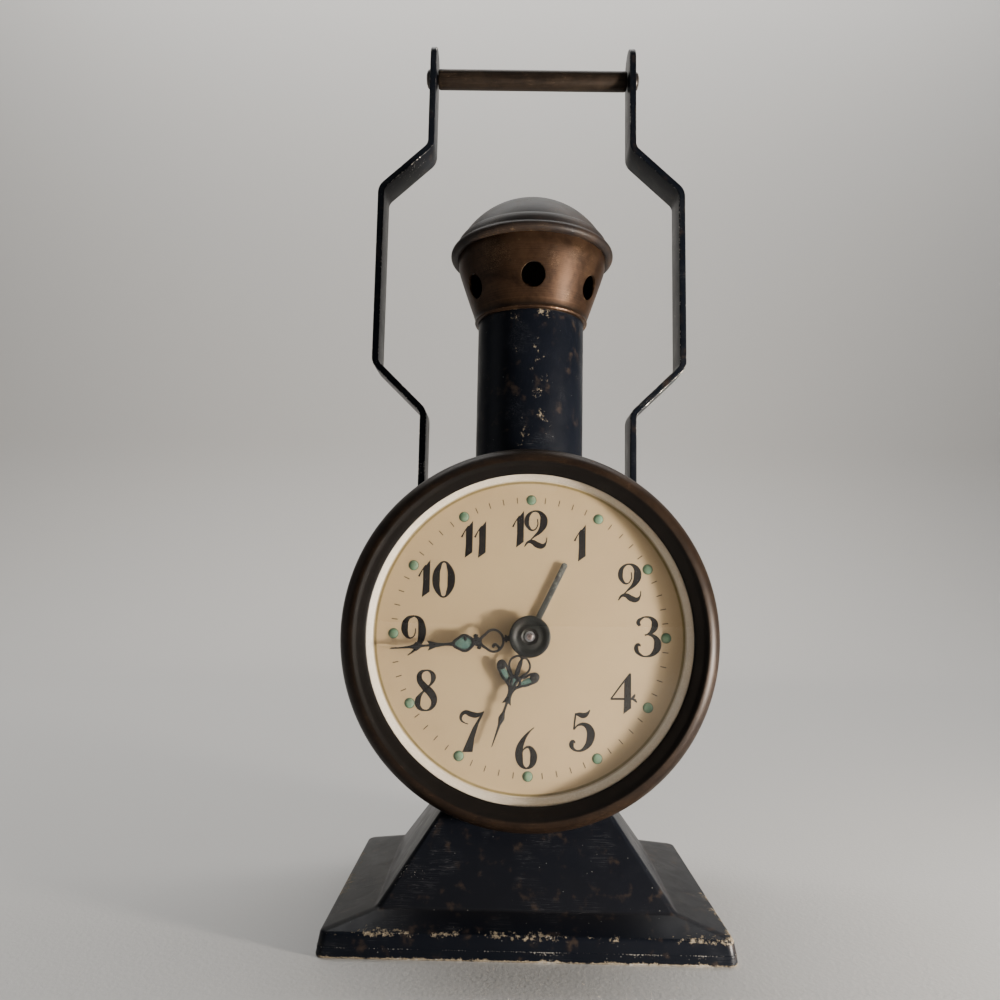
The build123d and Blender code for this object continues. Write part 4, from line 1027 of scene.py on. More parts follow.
@dataclass(frozen=True)
class Print(Finish):
    """Printed or stoved black, a little thin in places."""

    ink: Triple = (0.0045, 0.0035, 0.0035)
    thin: Triple = (0.022, 0.016, 0.012)
    gloss: float = 0.2

    def shade(self, bench: Bench) -> None:
        """Builds the ink.

        Args:
            bench: The material's tree.
        """
        patch = bench.noise(0.9, 4.0, 0.6)
        grain = bench.noise(5.0, 3.0)
        colour = bench.blend((patch * 0.6 + grain * 0.4).step(0.52, 0.76) * 0.6, self.ink, self.thin)
        bench.shine(Base_Color=colour, Roughness=grain * 0.2 + 0.45, Normal=bench.bump(grain, 0.01),
                    Specular_IOR_Level=self.gloss)


@dataclass(frozen=True)
class HandLacquer(Finish):
    """Black lacquer on stamped steel: handling marks, dust, and bare edges here and there."""

    body: Triple = (0.006, 0.006, 0.0065)
    shows: float = 0.12
    bare: Triple = (0.075, 0.052, 0.038)
    dust: Triple = (0.24, 0.23, 0.21)
    gloss: float = 0.2

    def shade(self, bench: Bench) -> None:
        """Builds the lacquer.

        Args:
            bench: The material's tree.
        """
        edge = bench.attribute("edge")
        cloud = bench.noise(0.5, 4.0, 0.6)
        grain = bench.noise(6.0, 3.0)
        dust = bench.specks(1.4, (0.10, 0.03), 0.6, (0.52, 0.62))
        lines = bench.scratches()
        rub = (edge * self.shows + (grain - 0.5) + (cloud - 0.5)).step(0.30, 0.60)
        colour = bench.coats(self.body, (cloud, tinted(self.body, 2.0)), (lines * 0.4, self.bare),
                             (rub, self.bare), (dust * 0.6, self.dust))
        relief = grain * 0.4 + cloud * 0.4 - lines * 0.2
        bench.shine(Base_Color=colour, Roughness=cloud * 0.22 + 0.34 + dust * 0.3, Metallic=rub * 0.6,
                    Normal=bench.bump(relief, 0.02), Specular_IOR_Level=self.gloss)


@dataclass(frozen=True)
class Lume(Finish):
    """Pale green luminous paint: grainy, thick and a little yellowed in patches, with fine cracks."""

    green: Triple = (0.042, 0.094, 0.052)
    dull: Triple = (0.062, 0.090, 0.048)
    crack: Triple = (0.12, 0.15, 0.10)

    def shade(self, bench: Bench) -> None:
        """Builds the paint.

        Args:
            bench: The material's tree.
        """
        grain = bench.noise(3.2, 4.0, 0.65)
        cloud = bench.noise(0.7, 3.0)
        cracks = bench.cells(1.5, "DISTANCE_TO_EDGE").step(0.05, 0.0) * cloud.step(0.45, 0.6)
        colour = bench.coats(self.green, (cloud.step(0.35, 0.7), self.dull),
                             (grain.step(0.45, 0.75) * 0.35, tinted(self.green, 1.9)),
                             (cracks * 0.5, self.crack))
        relief = grain * 0.6 + cloud * 0.4 - cracks * 0.4
        bench.shine(Base_Color=colour, Roughness=grain * 0.25 + 0.60, Normal=bench.bump(relief, 0.06))


@dataclass(frozen=True)
class ClearLens(Finish):
    """Clear lens with faint smears and hairline scratches, which lets the lamps through to the dial.

    Its refractive index is below that of glass, which keeps its haze off the dial.
    """

    glass: Triple = (0.985, 0.99, 0.985)
    clear: Triple = (0.97, 0.975, 0.97)
    index: float = 1.28

    def shade(self, bench: Bench) -> None:
        """Builds the glass.

        Args:
            bench: The material's tree.
        """
        smear = bench.noise(0.10, 5.0, 0.6, 1.0).step(0.5, 0.8)
        lines = bench.scratches(0.6)
        rough = smear * 0.05 + lines * 0.10 + 0.012
        glass = bench.node("ShaderNodeBsdfPrincipled", None,
                           {"Base Color": self.glass, "Roughness": rough, "IOR": self.index,
                            "Transmission Weight": 1.0,
                            "Normal": bench.bump(lines * 0.5 + smear * 0.1, 0.004)})
        clear = bench.node("ShaderNodeBsdfTransparent", None, {"Color": self.clear})
        lamp_ray = bench.node("ShaderNodeLightPath").outputs["Is Shadow Ray"]
        bench.shown(bench.node("ShaderNodeMixShader", None,
                               {0: lamp_ray, 1: glass.outputs[0], 2: clear.outputs[0]}))


@dataclass(frozen=True)
class Paper(Finish):
    """The plain pale floor and backdrop."""

    tone: Triple = (0.60, 0.59, 0.575)

    def shade(self, bench: Bench) -> None:
        """Builds the paper.

        Args:
            bench: The material's tree.
        """
        fibre = bench.noise(0.9, 4.0)
        colour = bench.blend(fibre, self.tone, tinted(self.tone, 1.04))
        bench.shine(Base_Color=colour, Roughness=fibre * 0.1 + 0.72, Normal=bench.bump(fibre, 0.05))


def movement_metal(name: str, bright: Triple, dark: Triple, stain: Triple, rubbed: Triple,
                   rough: Pair, stained: float, pitted: float, rub: float = 0.6) -> AgedMetal:
    """A bare metal that was turned round an axis parallel to the drum's.

    Args:
        name: The finish's name.
        bright: Its colour where it is clean.
        dark: Its colour where it is dull.
        stain: The colour of its stains.
        rubbed: Its colour where it is rubbed.
        rough: Its least and greatest roughness.
        stained: How much of it is stained.
        pitted: How strong its pits are.
        rub: How far its edges are rubbed.

    Returns:
        The finish.
    """
    return AgedMetal(name, bright, dark, stain, Lay.ROUND_DRUM, rough, stained, pitted, rub,
                     metal=1.0, rubbed=rubbed)


PLAIN_BLACK = Enamel("black_enamel_plain")
BASE_BLACK = Enamel("black_enamel_base", Wear.BASE, 0.75)
CHIMNEY_BLACK = Enamel("black_enamel_chimney", Wear.CHIMNEY, 0.7)
STRAP_BLACK = Enamel("black_enamel_strap", Wear.STRAP, 0.7)
CONE_METAL = AgedMetal(
    "cone_stained_brass", (0.064, 0.034, 0.018), (0.019, 0.0105, 0.0065), (0.028, 0.018, 0.012),
    Lay.ROUND_CHIMNEY, (0.29, 0.46), 0.55, 0.8, 0.45, metal=0.6, rubbed=(0.36, 0.24, 0.135))
DOME_METAL = AgedMetal(
    "dome_dark_bronze", (0.034, 0.022, 0.015), (0.010, 0.009, 0.010), (0.013, 0.010, 0.010),
    Lay.ROUND_CHIMNEY, (0.36, 0.54), 0.55, 0.5, 0.40, metal=0.08, rubbed=(0.20, 0.125, 0.068))
BEZEL_METAL = AgedMetal(
    "bezel_brown_bronze", (0.025, 0.0145, 0.0083), (0.0095, 0.0057, 0.0040), (0.013, 0.0085, 0.0065),
    Lay.ROUND_DRUM, (0.30, 0.42), 0.45, 0.35, 0.30, grain=0.35, metal=0.2, rubbed=(0.115, 0.068, 0.037),
    darkened_within_r=41.6)
GRIP_METAL = AgedMetal(
    "grip_brown_tube", (0.036, 0.025, 0.017), (0.015, 0.0105, 0.008), (0.026, 0.017, 0.011),
    Lay.LENGTHWISE, (0.36, 0.54), rub=0.4, metal=0.5, rubbed=(0.34, 0.225, 0.135))
RIVET_METAL = AgedMetal(
    "darkened_steel", (0.11, 0.095, 0.085), (0.030, 0.027, 0.027), rough=(0.34, 0.50), rub=0.8,
    rubbed=(0.42, 0.38, 0.34))
FASTENER_METAL = AgedMetal(
    "fastener_zinc", (0.55, 0.55, 0.53), (0.33, 0.33, 0.32), (0.26, 0.22, 0.16),
    rough=(0.30, 0.50), stained=0.4, pitted=0.3, metal=1.0, rubbed=(0.75, 0.75, 0.73))
HUB_PIN_METAL = AgedMetal(
    "hub_pin_steel", (0.50, 0.38, 0.35), (0.28, 0.21, 0.20), rough=(0.18, 0.32), stained=0.15, pitted=0.1,
    metal=1.0, rubbed=(0.8, 0.7, 0.66))
ALARM_HAND_METAL = AgedMetal(
    "alarm_hand_grey", (0.036, 0.038, 0.035), (0.028, 0.029, 0.028), (0.04, 0.034, 0.028),
    rough=(0.38, 0.50), stained=0.08, pitted=0.1, rub=0.4, metal=0.2, rubbed=(0.16, 0.16, 0.15))
KNOB_METAL = movement_metal(
    "knob_brass", (0.62, 0.42, 0.17), (0.36, 0.22, 0.085), (0.14, 0.085, 0.04), (0.85, 0.66, 0.36),
    (0.22, 0.40), 0.35, 0.25, 0.7)
MOVEMENT_BRASS = movement_metal(
    "movement_brass", (0.72, 0.52, 0.22), (0.50, 0.33, 0.12), (0.30, 0.18, 0.07), (0.88, 0.72, 0.42),
    (0.20, 0.36), 0.2, 0.1)
MOVEMENT_STEEL = movement_metal(
    "movement_steel", (0.56, 0.56, 0.57), (0.34, 0.34, 0.36), (0.20, 0.16, 0.12), (0.78, 0.78, 0.78),
    (0.22, 0.38), 0.2, 0.15)
BELL_METAL = movement_metal(
    "bell_nickel", (0.72, 0.69, 0.64), (0.50, 0.48, 0.45), (0.30, 0.26, 0.20), (0.86, 0.84, 0.80),
    (0.14, 0.28), 0.2, 0.2)
SPRING_METAL = movement_metal(
    "spring_blue_steel", (0.20, 0.23, 0.33), (0.11, 0.12, 0.17), (0.16, 0.10, 0.06), (0.55, 0.57, 0.62),
    (0.22, 0.36), 0.25, 0.1)
DIAL_CREAM = DialPaint("dial_cream")
RING_WHITE = DialPaint("dial_ring_white", pale=(0.36, 0.325, 0.28), margin=False, matt=0.18)
DIAL_INK = Print("dial_ink")
MARK_INK = Print("mark_ink", (0.060, 0.043, 0.026), (0.13, 0.10, 0.065))
# Dark ring round each dot: partly its outline, partly painted shade of the raised dot.
DOT_RIM_DARK = Print("dot_rim_dark", (0.030, 0.050, 0.030), (0.06, 0.09, 0.055))
HAND_BLACK = HandLacquer("hand_black")
HUB_BLACK = HandLacquer("hub_black", (0.0045, 0.0048, 0.0046), 0.10)
LUME_GREEN = Lume("lume_green")
HAND_LUME = Lume("hand_lume", (0.013, 0.042, 0.036), (0.022, 0.050, 0.038))
LENS_CLEAR = ClearLens("lens_clear")
STUDIO_PAPER = Paper("studio_paper")


def fitted(piece: Piece, finish: Finish, body: str, slot: str, *nodes: str, soft: float = SOFT_ANGLE) -> None:
    """Dresses a finished piece, ties it to its body and hides the CAD nodes it stands for.

    Args:
        piece: The finished piece.
        finish: Its finish.
        body: The CAD body that it moves with.
        slot: The record's material slot; not used.
        *nodes: CAD nodes that it replaces.
        soft: The sharpest bend in degrees that is shaded smooth.
    """
    finish.on(faired(piece, soft))
    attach(piece, body)
    if nodes:
        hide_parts(*nodes)
    log.info("%s: %d faces on %s", piece.name, len(piece.data.polygons), body)


# Sub-assemblies

@dataclass
class Base:
    """The pressed pyramid that the clock stands on."""

    half_w: float = 46.5
    half_d: float = 33.0
    centre_y: float = -5.75
    corner: float = 2.2
    rim_top: float = 5.2
    draft: float = 0.8
    foot_z: float = 8.0
    foot_half: Pair = (34.4, 26.1)
    slope: Pair = (0.715, 0.46)
    top_z: float = 35.0
    wall: float = 0.8
    hem_w: float = 1.6
    hem_h: float = 2.4
    hem_gap: float = 0.25

    def levels(self) -> list[Triple]:
        """Heights and half sizes that the pressing passes through, from the rim up."""
        climb = self.top_z - self.foot_z
        wide, deep = self.foot_half
        return [(self.rim_top, self.half_w - self.draft, self.half_d - self.draft), (self.foot_z, wide, deep),
                (self.top_z, wide - self.slope[0] * climb, deep - self.slope[1] * climb)]

    def shell(self) -> Piece:
        """The pressing, pulled up level by level, cut out for the drum and opened below."""
        piece = added(bpy.ops.mesh.primitive_plane_add, size=1.0)
        centre = mm(0.0, self.centre_y, 0.0)
        with editing(piece, everything):
            bpy.ops.transform.resize(value=(2 * self.half_w * MM, 2 * self.half_d * MM, 1.0),
                                     center_override=(0, 0, 0))
            bpy.ops.transform.translate(value=centre)
            bpy.ops.mesh.bevel(offset=self.corner * MM, segments=6, affect="VERTICES")
            bpy.ops.mesh.select_all(action="SELECT")
            low, wide, deep = 0.0, self.half_w, self.half_d
            for level, half_w, half_d in self.levels():
                pulled(0.0, 0.0, level - low)
                bpy.ops.transform.resize(value=(half_w / wide, half_d / deep, 1.0), center_override=centre)
                low, wide, deep = level, half_w, half_d
        saddled(rounded(outward(piece), 0.75, 4, 18.0))
        with editing(piece, lambda place: place.z < 0.01):
            bpy.ops.mesh.delete(type="ONLY_FACE")
        return thickened(outward(piece), self.wall)

    def hem(self) -> Piece:
        """The folded hem inside the lower edge."""
        middle = (0.0, self.centre_y)
        outer = (2 * (self.half_w - self.hem_gap), 2 * (self.half_d - self.hem_gap))
        inner = (2 * (self.half_w - self.hem_w), 2 * (self.half_d - self.hem_w))
        ring = plate(outer, self.corner, 0.0, self.hem_h, middle)
        tool = plate(inner, self.corner * 0.5, -1.0, self.hem_h + 1.0, middle)
        return rounded(cut(ring, tool), 0.3)

    def build(self) -> None:
        """Builds and dresses the base."""
        piece = joined("pressed_base", [self.shell(), self.hem()])
        fitted(piece, BASE_BLACK, "case", "black_enamel", "base_shell", soft=28.0)


@dataclass
class Drum:
    """The round case with its recessed rear cover."""

    wall: float = 0.6
    front: float = -28.65
    rear: float = 25.75
    lip_r: float = 40.5
    cover_r: float = 42.85
    cover_out: float = 24.95
    cover_in: float = 24.25
    cover_dip: float = 0.25
    skirt_in: float = 22.55
    skirt_w: float = 0.7
    bores: tuple[Triple, ...] = ((*TIME_KEY_SPOT, 2.8), (*ALARM_KEY_SPOT, 2.8), (0.0, 0.0, 2.0),
                                 (*SETTER_SPOT, 2.0), (*BUTTON_SPOT, 1.55))

    def case(self) -> Piece:
        """The drawn case."""
        r, w = DRUM_R, self.wall
        outline = [(self.lip_r, self.front), (r, self.front), (r, self.rear), (r - w, self.rear),
                   (r - w, self.front + w), (self.lip_r, self.front + w)]
        return turned("drum", outline, DRUM_AXIS, 160, 2.0, round_by=0.2)

    def cover(self) -> Piece:
        """The rear cover: a stepped face with bores, sound holes and the regulator's slot."""
        r, out, inside, dip = self.cover_r, self.cover_out, self.cover_in, self.cover_dip
        skirt_r = r - self.skirt_w
        outline = [(0.0, out), (27.0, out), (27.6, out - dip), (38.6, out - dip), (39.2, out), (r, out),
                   (r, self.skirt_in), (skirt_r, self.skirt_in), (skirt_r, inside), (39.0, inside),
                   (38.4, inside - dip), (27.8, inside - dip), (27.2, inside), (0.0, inside)]
        piece = turned("rear_cover_pressed", outline, DRUM_AXIS, 128, 4.0, closed=False)
        sound = [(x, z, 1.3) for x, z in arc((0.0, 0.0), 33.0, 68.0, 104.0, 4)]
        slot = [(x, z, 1.4) for x, z in arc((-6.5, 31.0), 13.5, 187.0, 223.0, 12)]
        for x, z, radius in [*self.bores, *sound, *slot]:
            drilled(piece, rear_axis(x, z), radius, 20.0, 28.0)
        return rounded(outward(piece), 0.1, 2)

    def build(self) -> None:
        """Builds and dresses the drum and its cover."""
        fitted(self.case(), PLAIN_BLACK, "case", "black_enamel", "drum_case")
        fitted(self.cover(), PLAIN_BLACK, "case", "black_enamel", "rear_cover")


@dataclass
class Front:
    """Bezel, domed lens and the pale ring behind it."""

    skirt_end: float = -24.25
    flange_r: float = 41.2
    lens_r: float = 38.2
    lens_rim: float = -32.4
    lens_top: float = -36.3
    lens_wall: float = 1.0

    def bezel(self) -> Piece:
        """The bezel: a rolled outer band, a crest, an inner slope and its hollow back."""
        outline = [
            (44.2, self.skirt_end), (44.2, -26.9), (44.25, -27.7), (44.5, -28.4), (44.85, -29.2),
            (45.0, -30.25), (44.95, -31.1), (44.7, -32.0), (44.2, -32.9), (43.4, -33.7), (42.5, -34.2),
            (41.7, -34.35),
            (41.3, -34.2), (40.9, -33.95), (40.4, -33.78), (39.0, -33.35), (38.5, -33.15), (38.5, -32.45),
            (40.5, -33.05), (41.6, -33.6), (42.6, -33.45), (43.5, -32.6), (44.1, -31.4), (44.25, -30.3),
            (44.0, -29.0), (43.6, -27.9), (43.52, -27.0), (43.52, self.skirt_end)]
        return turned("bezel_rolled", outline, DRUM_AXIS, 192, 1.2, round_by=0.12)

    def lens(self) -> Piece:
        """The domed lens with its flange."""
        back = self.lens_rim + self.lens_wall
        outside = dome(self.lens_r, self.lens_rim, self.lens_top, 22)[::-1]
        inside = dome(self.lens_r - 0.5, back, self.lens_top + self.lens_wall, 22)
        outline = outside + [(self.flange_r, self.lens_rim), (self.flange_r, back)] + inside
        return turned("lens_domed", outline, DRUM_AXIS, 160, 50.0, closed=False)

    def ring(self) -> Piece:
        """The pale ring that slopes from the lens down to the dial."""
        back = self.lens_rim + self.lens_wall
        outline = [(37.4, DIAL_FACE), (37.75, -29.7), (38.35, -30.8), (38.7, back), (self.flange_r, back),
                   (self.flange_r, DIAL_FACE)]
        return turned("pale_ring", outline, DRUM_AXIS, 160, 1.2, round_by=0.12)

    def build(self) -> None:
        """Builds and dresses the front."""
        fitted(self.bezel(), BEZEL_METAL, "case", "bezel_bronze", "bezel")
        fitted(self.lens(), LENS_CLEAR, "case", "lens_clear", "lens")
        fitted(self.ring(), RING_WHITE, "case", "ring_white", "dial_ring")


ONE = (Patch(((2.72, 9.0), (1.85, 7.85), (1.02, 7.0), (1.08, 3.4), (0.90, 0.0), (2.72, 1.35))),
       Stroke(((1.6, 7.75, 0.15), (0.72, 6.35, 0.17), (0.02, 4.95, 0.32))))
DIGITS: dict[str, tuple[Mark, ...]] = {
    "0": (Stroke(((4.55, 4.38, 1.50), (3.95, 7.25, 0.95), (2.7, 8.6, 0.3), (1.45, 7.25, 0.95),
                  (0.85, 4.38, 1.50), (1.45, 1.5, 0.95), (2.7, 0.15, 0.3), (3.95, 1.5, 0.95)), True),),
    "1": ONE,
    "2": (Stroke(((3.18, 7.0, 0.18), (3.12, 5.25, 0.2), (2.07, 4.23, 0.28), (0.89, 5.09, 0.7),
                  (0.57, 6.68, 0.95), (1.27, 8.27, 0.55), (2.7, 8.9, 0.3), (4.2, 8.11, 0.95),
                  (4.7, 6.36, 1.5), (3.97, 4.29, 0.95), (2.2, 2.54, 0.3), (0.8, 1.1, 0.2),
                  (0.06, 0.25, 0.15))),
          Stroke(((0.06, 0.25, 0.15), (0.8, 1.27, 0.4), (1.9, 1.43, 0.85), (3.18, 0.7, 1.15),
                  (4.45, 0.48, 0.9), (5.25, 1.27, 0.3), (5.47, 2.54, 0.15)))),
    "3": (Stroke(((1.2, 7.35, 0.5), (0.75, 8.1, 0.75), (1.6, 9.1, 0.4), (2.8, 9.45, 0.3), (4.2, 8.9, 0.8),
                  (4.75, 7.6, 1.3), (4.1, 6.1, 0.9), (2.9, 5.3, 0.25))),
          Stroke(((2.3, 5.15, 0.25), (3.4, 5.3, 0.4), (4.9, 4.5, 0.95), (5.4, 2.9, 1.45), (4.6, 1.1, 1.0),
                  (2.8, 0.15, 0.3), (1.0, 0.7, 0.55), (0.3, 1.9, 0.85), (0.75, 2.9, 0.6), (1.35, 2.6, 0.3)))),
    "4": (Patch(((4.70, 9.6), (3.30, 7.5), (3.20, 3.0), (3.10, 0.0), (4.95, 1.4), (4.95, 9.35))),
          Stroke(((4.65, 9.4, 0.25), (2.4, 6.5, 0.28), (0.1, 3.4, 0.25))),
          Stroke(((0.05, 3.45, 0.3), (3.4, 3.5, 0.35), (5.3, 3.5, 0.3), (6.1, 3.3, 0.3))),
          Stroke(((4.9, 3.4, 0.25), (5.45, 3.95, 0.5), (5.85, 4.65, 0.25))),
          Stroke(((5.4, 3.4, 0.25), (5.95, 3.1, 0.4), (6.3, 2.75, 0.15)))),
    "5": (Stroke(((1.2, 8.6, 0.35), (2.0, 8.5, 0.8), (3.1, 8.3, 1.0), (4.0, 8.8, 0.6), (4.55, 9.6, 0.2))),
          Stroke(((1.25, 8.8, 0.3), (1.0, 7.0, 0.28), (0.8, 5.0, 0.28))),
          Stroke(((0.8, 5.0, 0.2), (1.8, 6.05, 0.35), (3.3, 6.2, 0.8), (4.6, 5.0, 1.45), (4.7, 3.0, 1.5),
                  (3.6, 1.0, 0.9), (1.9, 0.15, 0.35), (0.6, 0.7, 0.6), (0.25, 1.6, 0.9), (0.6, 2.3, 0.6),
                  (1.15, 2.0, 0.3)))),
    "6": (Stroke(((4.3, 9.6, 0.15), (3.2, 8.6, 0.3), (1.9, 6.9, 0.8), (0.95, 4.6, 1.35), (0.95, 2.4, 1.4),
                  (1.6, 0.8, 0.8), (2.6, 0.15, 0.3))),
          Stroke(((2.6, 0.15, 0.3), (3.7, 0.8, 0.8), (4.3, 2.4, 1.35), (4.0, 4.2, 1.1), (3.0, 5.1, 0.5),
                  (2.0, 4.6, 0.25), (1.4, 3.6, 0.2)))),
    "7": (Stroke(((2.0, 6.4, 0.15), (1.1, 6.7, 0.2), (0.35, 7.3, 0.4), (0.3, 8.3, 0.6), (1.2, 9.1, 0.75),
                  (2.6, 8.7, 1.05), (4.0, 8.5, 0.9), (5.3, 9.1, 0.35), (5.7, 9.4, 0.15))),
          Patch(((5.80, 9.4), (4.45, 6.4), (3.55, 3.2), (3.20, 0.0), (0.75, 0.0), (1.85, 2.6), (3.10, 5.6),
                 (5.10, 8.9)))),
    "8": (Stroke(((2.4, 9.45, 0.3), (1.0, 8.8, 0.8), (0.8, 7.4, 1.1), (2.0, 5.7, 1.35), (3.6, 4.2, 1.5),
                  (4.4, 2.4, 1.2), (3.6, 0.6, 0.6), (2.4, 0.15, 0.3), (0.9, 0.8, 0.8), (0.55, 2.4, 1.1),
                  (1.2, 3.8, 0.6), (2.6, 5.3, 0.25), (3.8, 6.7, 0.6), (4.1, 8.0, 1.0), (3.5, 9.1, 0.6)),
                 True),),
    "9": (Stroke(((2.9, 9.35, 0.3), (1.3, 8.7, 0.8), (0.6, 6.9, 1.3), (0.9, 5.1, 1.0), (1.9, 4.1, 0.3),
                  (2.8, 4.5, 0.2), (3.2, 5.6, 0.18), (3.2, 6.4, 0.15))),
          Stroke(((2.9, 9.35, 0.3), (4.1, 8.6, 0.85), (4.75, 6.6, 1.45), (4.7, 4.4, 1.4), (3.9, 2.3, 0.85),
                  (2.7, 0.9, 0.4), (1.5, 0.0, 0.15)))),
}


@dataclass(frozen=True)
class Numeral:
    """A number of the dial: its digits, where its middle is, and its size, in mm from the dial's centre."""

    digits: str
    spot: Pair
    size: Pair
    second_at: float = 0.0


NUMERALS = (
    Numeral("12", (-0.3, 25.6), (8.3, 9.2), 2.85), Numeral("1", (11.85, 22.5), (2.6, 9.3)),
    Numeral("2", (23.9, 13.1), (5.6, 9.1)), Numeral("3", (28.1, 0.15), (5.9, 9.3)),
    Numeral("4", (22.5, -13.1), (6.4, 9.5)), Numeral("5", (12.6, -21.9), (5.3, 9.5)),
    Numeral("6", (-0.4, -26.1), (5.1, 9.7)), Numeral("7", (-13.3, -22.6), (5.8, 9.3)),
    Numeral("8", (-24.3, -13.3), (5.0, 9.5)), Numeral("9", (-27.8, -0.3), (5.4, 9.7)),
    Numeral("10", (-22.5, 13.1), (8.8, 8.9), 3.35), Numeral("11", (-13.9, 22.8), (5.8, 9.0), 3.2),
)


@dataclass
class Dial:
    """The printed dial and its luminous dots."""

    ink: float = 0.03
    weight: Pair = (1.2, 0.06)
    dot_circle: float = 32.55
    dot_r: float = 1.12
    rim_r: Pair = (0.6, 1.24)
    mark: Pair = (1.45, 0.25)
    turn_of_dots: float = 47.0

    def numbers(self) -> Piece:
        """The twelve printed numbers."""
        pieces = []
        for numeral in NUMERALS:
            left, low = (spot - size / 2 for spot, size in zip(numeral.spot, numeral.size))
            for i, digit in enumerate(numeral.digits):
                piece = penned("number", DIGITS[digit], self.ink, 0.004, self.weight)
                piece.data.transform(on_dial(left + i * numeral.second_at, low, DIAL_FACE))
                pieces.append(piece)
        return joined("printed_numbers", pieces)

    def minute_marks(self) -> Piece:
        """Four thin marks between each pair of dots, drawn once and turned round the dial."""
        pattern = plate(self.mark, 0.05, 0.0, self.ink, (self.dot_circle, 0.0))
        moves = (on_dial(0.0, 0.0, DIAL_FACE, 6.0 * i) for i in range(60) if i % 5)
        return repeated("printed_minute_marks", pattern, moves)

    def at_hours(self, name: str, pattern: Piece, turn: float = 0.0) -> Piece:
        """Copies a pattern to the places of the twelve dots.

        Args:
            name: The name of the result.
            pattern: The piece to copy.
            turn: How many degrees each copy is turned from the one before.

        Returns:
            The joined copies.
        """
        spots = arc((0.0, 0.0), self.dot_circle, 0.0, 330.0, 11)
        return repeated(name, pattern, (on_dial(x, z, DIAL_FACE, turn * i) for i, (x, z) in enumerate(spots)))

    def dots(self) -> Piece:
        """The luminous dots, each a low drop of thick paint."""
        outline = [(0.0, 0.34), (0.35, 0.33), (0.70, 0.27), (0.95, 0.17), (1.08, 0.06), (self.dot_r, 0.0),
                   (0.0, 0.0)]
        pattern = turned("dot", outline, DIAL_AXIS, 32, 1.0, closed=False)
        return self.at_hours("luminous_dots", pattern, self.turn_of_dots)

    def dot_rims(self) -> Piece:
        """The dark ring under each dot: partly its dark outline, partly painted shade round the raised dot.
        """
        inner, outer = self.rim_r
        outline = [(inner, 0.0), (outer, 0.0), (outer, self.ink), (inner, self.ink)]
        return self.at_hours("dot_rims_dark", turned("dot_rim", outline, DIAL_AXIS, 40, 1.0))

    def build(self) -> None:
        """Dresses the CAD dial and adds its print, the dark rings round its dots, and the dots."""
        DIAL_CREAM.on(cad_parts["dial_plate"])
        fitted(self.numbers(), DIAL_INK, "case", "dial_cream")
        fitted(self.minute_marks(), MARK_INK, "case", "dial_cream")
        # Dark ring round each dot: partly its outline, partly painted shade.
        fitted(self.dot_rims(), DOT_RIM_DARK, "case", "dial_cream")
        fitted(self.dots(), LUME_GREEN, "case", "lume_green", "dial_lume_dots", soft=60.0)


MINUTE_MARKS: tuple[Mark, ...] = (
    Stroke(((3.4, 0.0, 2.2), (4.8, 0.0, 1.2), (5.5, 0.05, 0.75), (6.35, 0.2, 0.6))),
    Stroke(((5.65, -0.85, 0.3), (5.65, 0.0, 0.45), (5.65, 0.9, 0.3))),
    Stroke(((6.3, 0.25, 0.42), (7.15, -1.7, 0.40), (8.75, -2.3, 0.42), (10.35, -1.45, 0.45),
            (11.75, 0.1, 0.55), (10.35, 1.95, 0.45), (8.75, 2.8, 0.42), (7.15, 2.2, 0.42)), True),
    Stroke(((7.25, 2.35, 0.55), (7.75, 1.55, 0.40), (8.35, 1.15, 0.50), (8.75, 1.5, 0.55),
            (8.55, 1.75, 0.35))),
    Stroke(((11.5, 0.1, 0.9), (12.2, 0.1, 1.7), (12.95, 0.05, 1.6), (13.7, 0.15, 0.9))),
    Stroke(((11.75, 1.15, 0.7), (12.1, 1.3, 1.05), (12.45, 1.15, 0.7))),
    Stroke(((12.35, -0.85, 0.7), (12.7, -1.05, 1.05), (13.1, -0.85, 0.7))),
    Stroke(((13.35, 0.15, 0.55), (14.25, -1.15, 0.46), (15.45, -1.62, 0.52), (16.75, -1.1, 0.46),
            (18.1, 0.2, 0.5), (16.75, 1.5, 0.46), (15.45, 2.0, 0.52), (14.25, 1.55, 0.46)), True),
    Stroke(((14.85, -0.95, 0.5), (15.2, -0.85, 0.85), (15.5, -0.95, 0.5))),
    Stroke(((17.9, 0.2, 0.9), (18.9, 0.15, 0.6), (20.4, 0.1, 0.50), (22.0, 0.1, 0.80))),
    Patch(((21.6, 0.42), (24.25, 1.25), (23.75, 0.30), (23.75, -0.22), (24.25, -1.15), (21.6, -0.32))),
    Stroke(((23.3, 0.03, 0.55), (24.6, 0.0, 0.38), (26.0, 0.0, 0.6))),
    even((25.6, 0.25), (26.3, 0.75), (26.9, 1.10), (27.4, 0.60), (28.6, 0.28)),
    Stroke(((28.3, 0.0, 0.46), (29.8, 0.0, 0.32), (31.6, 0.0, 0.20), (33.1, 0.0, 0.08))),
)
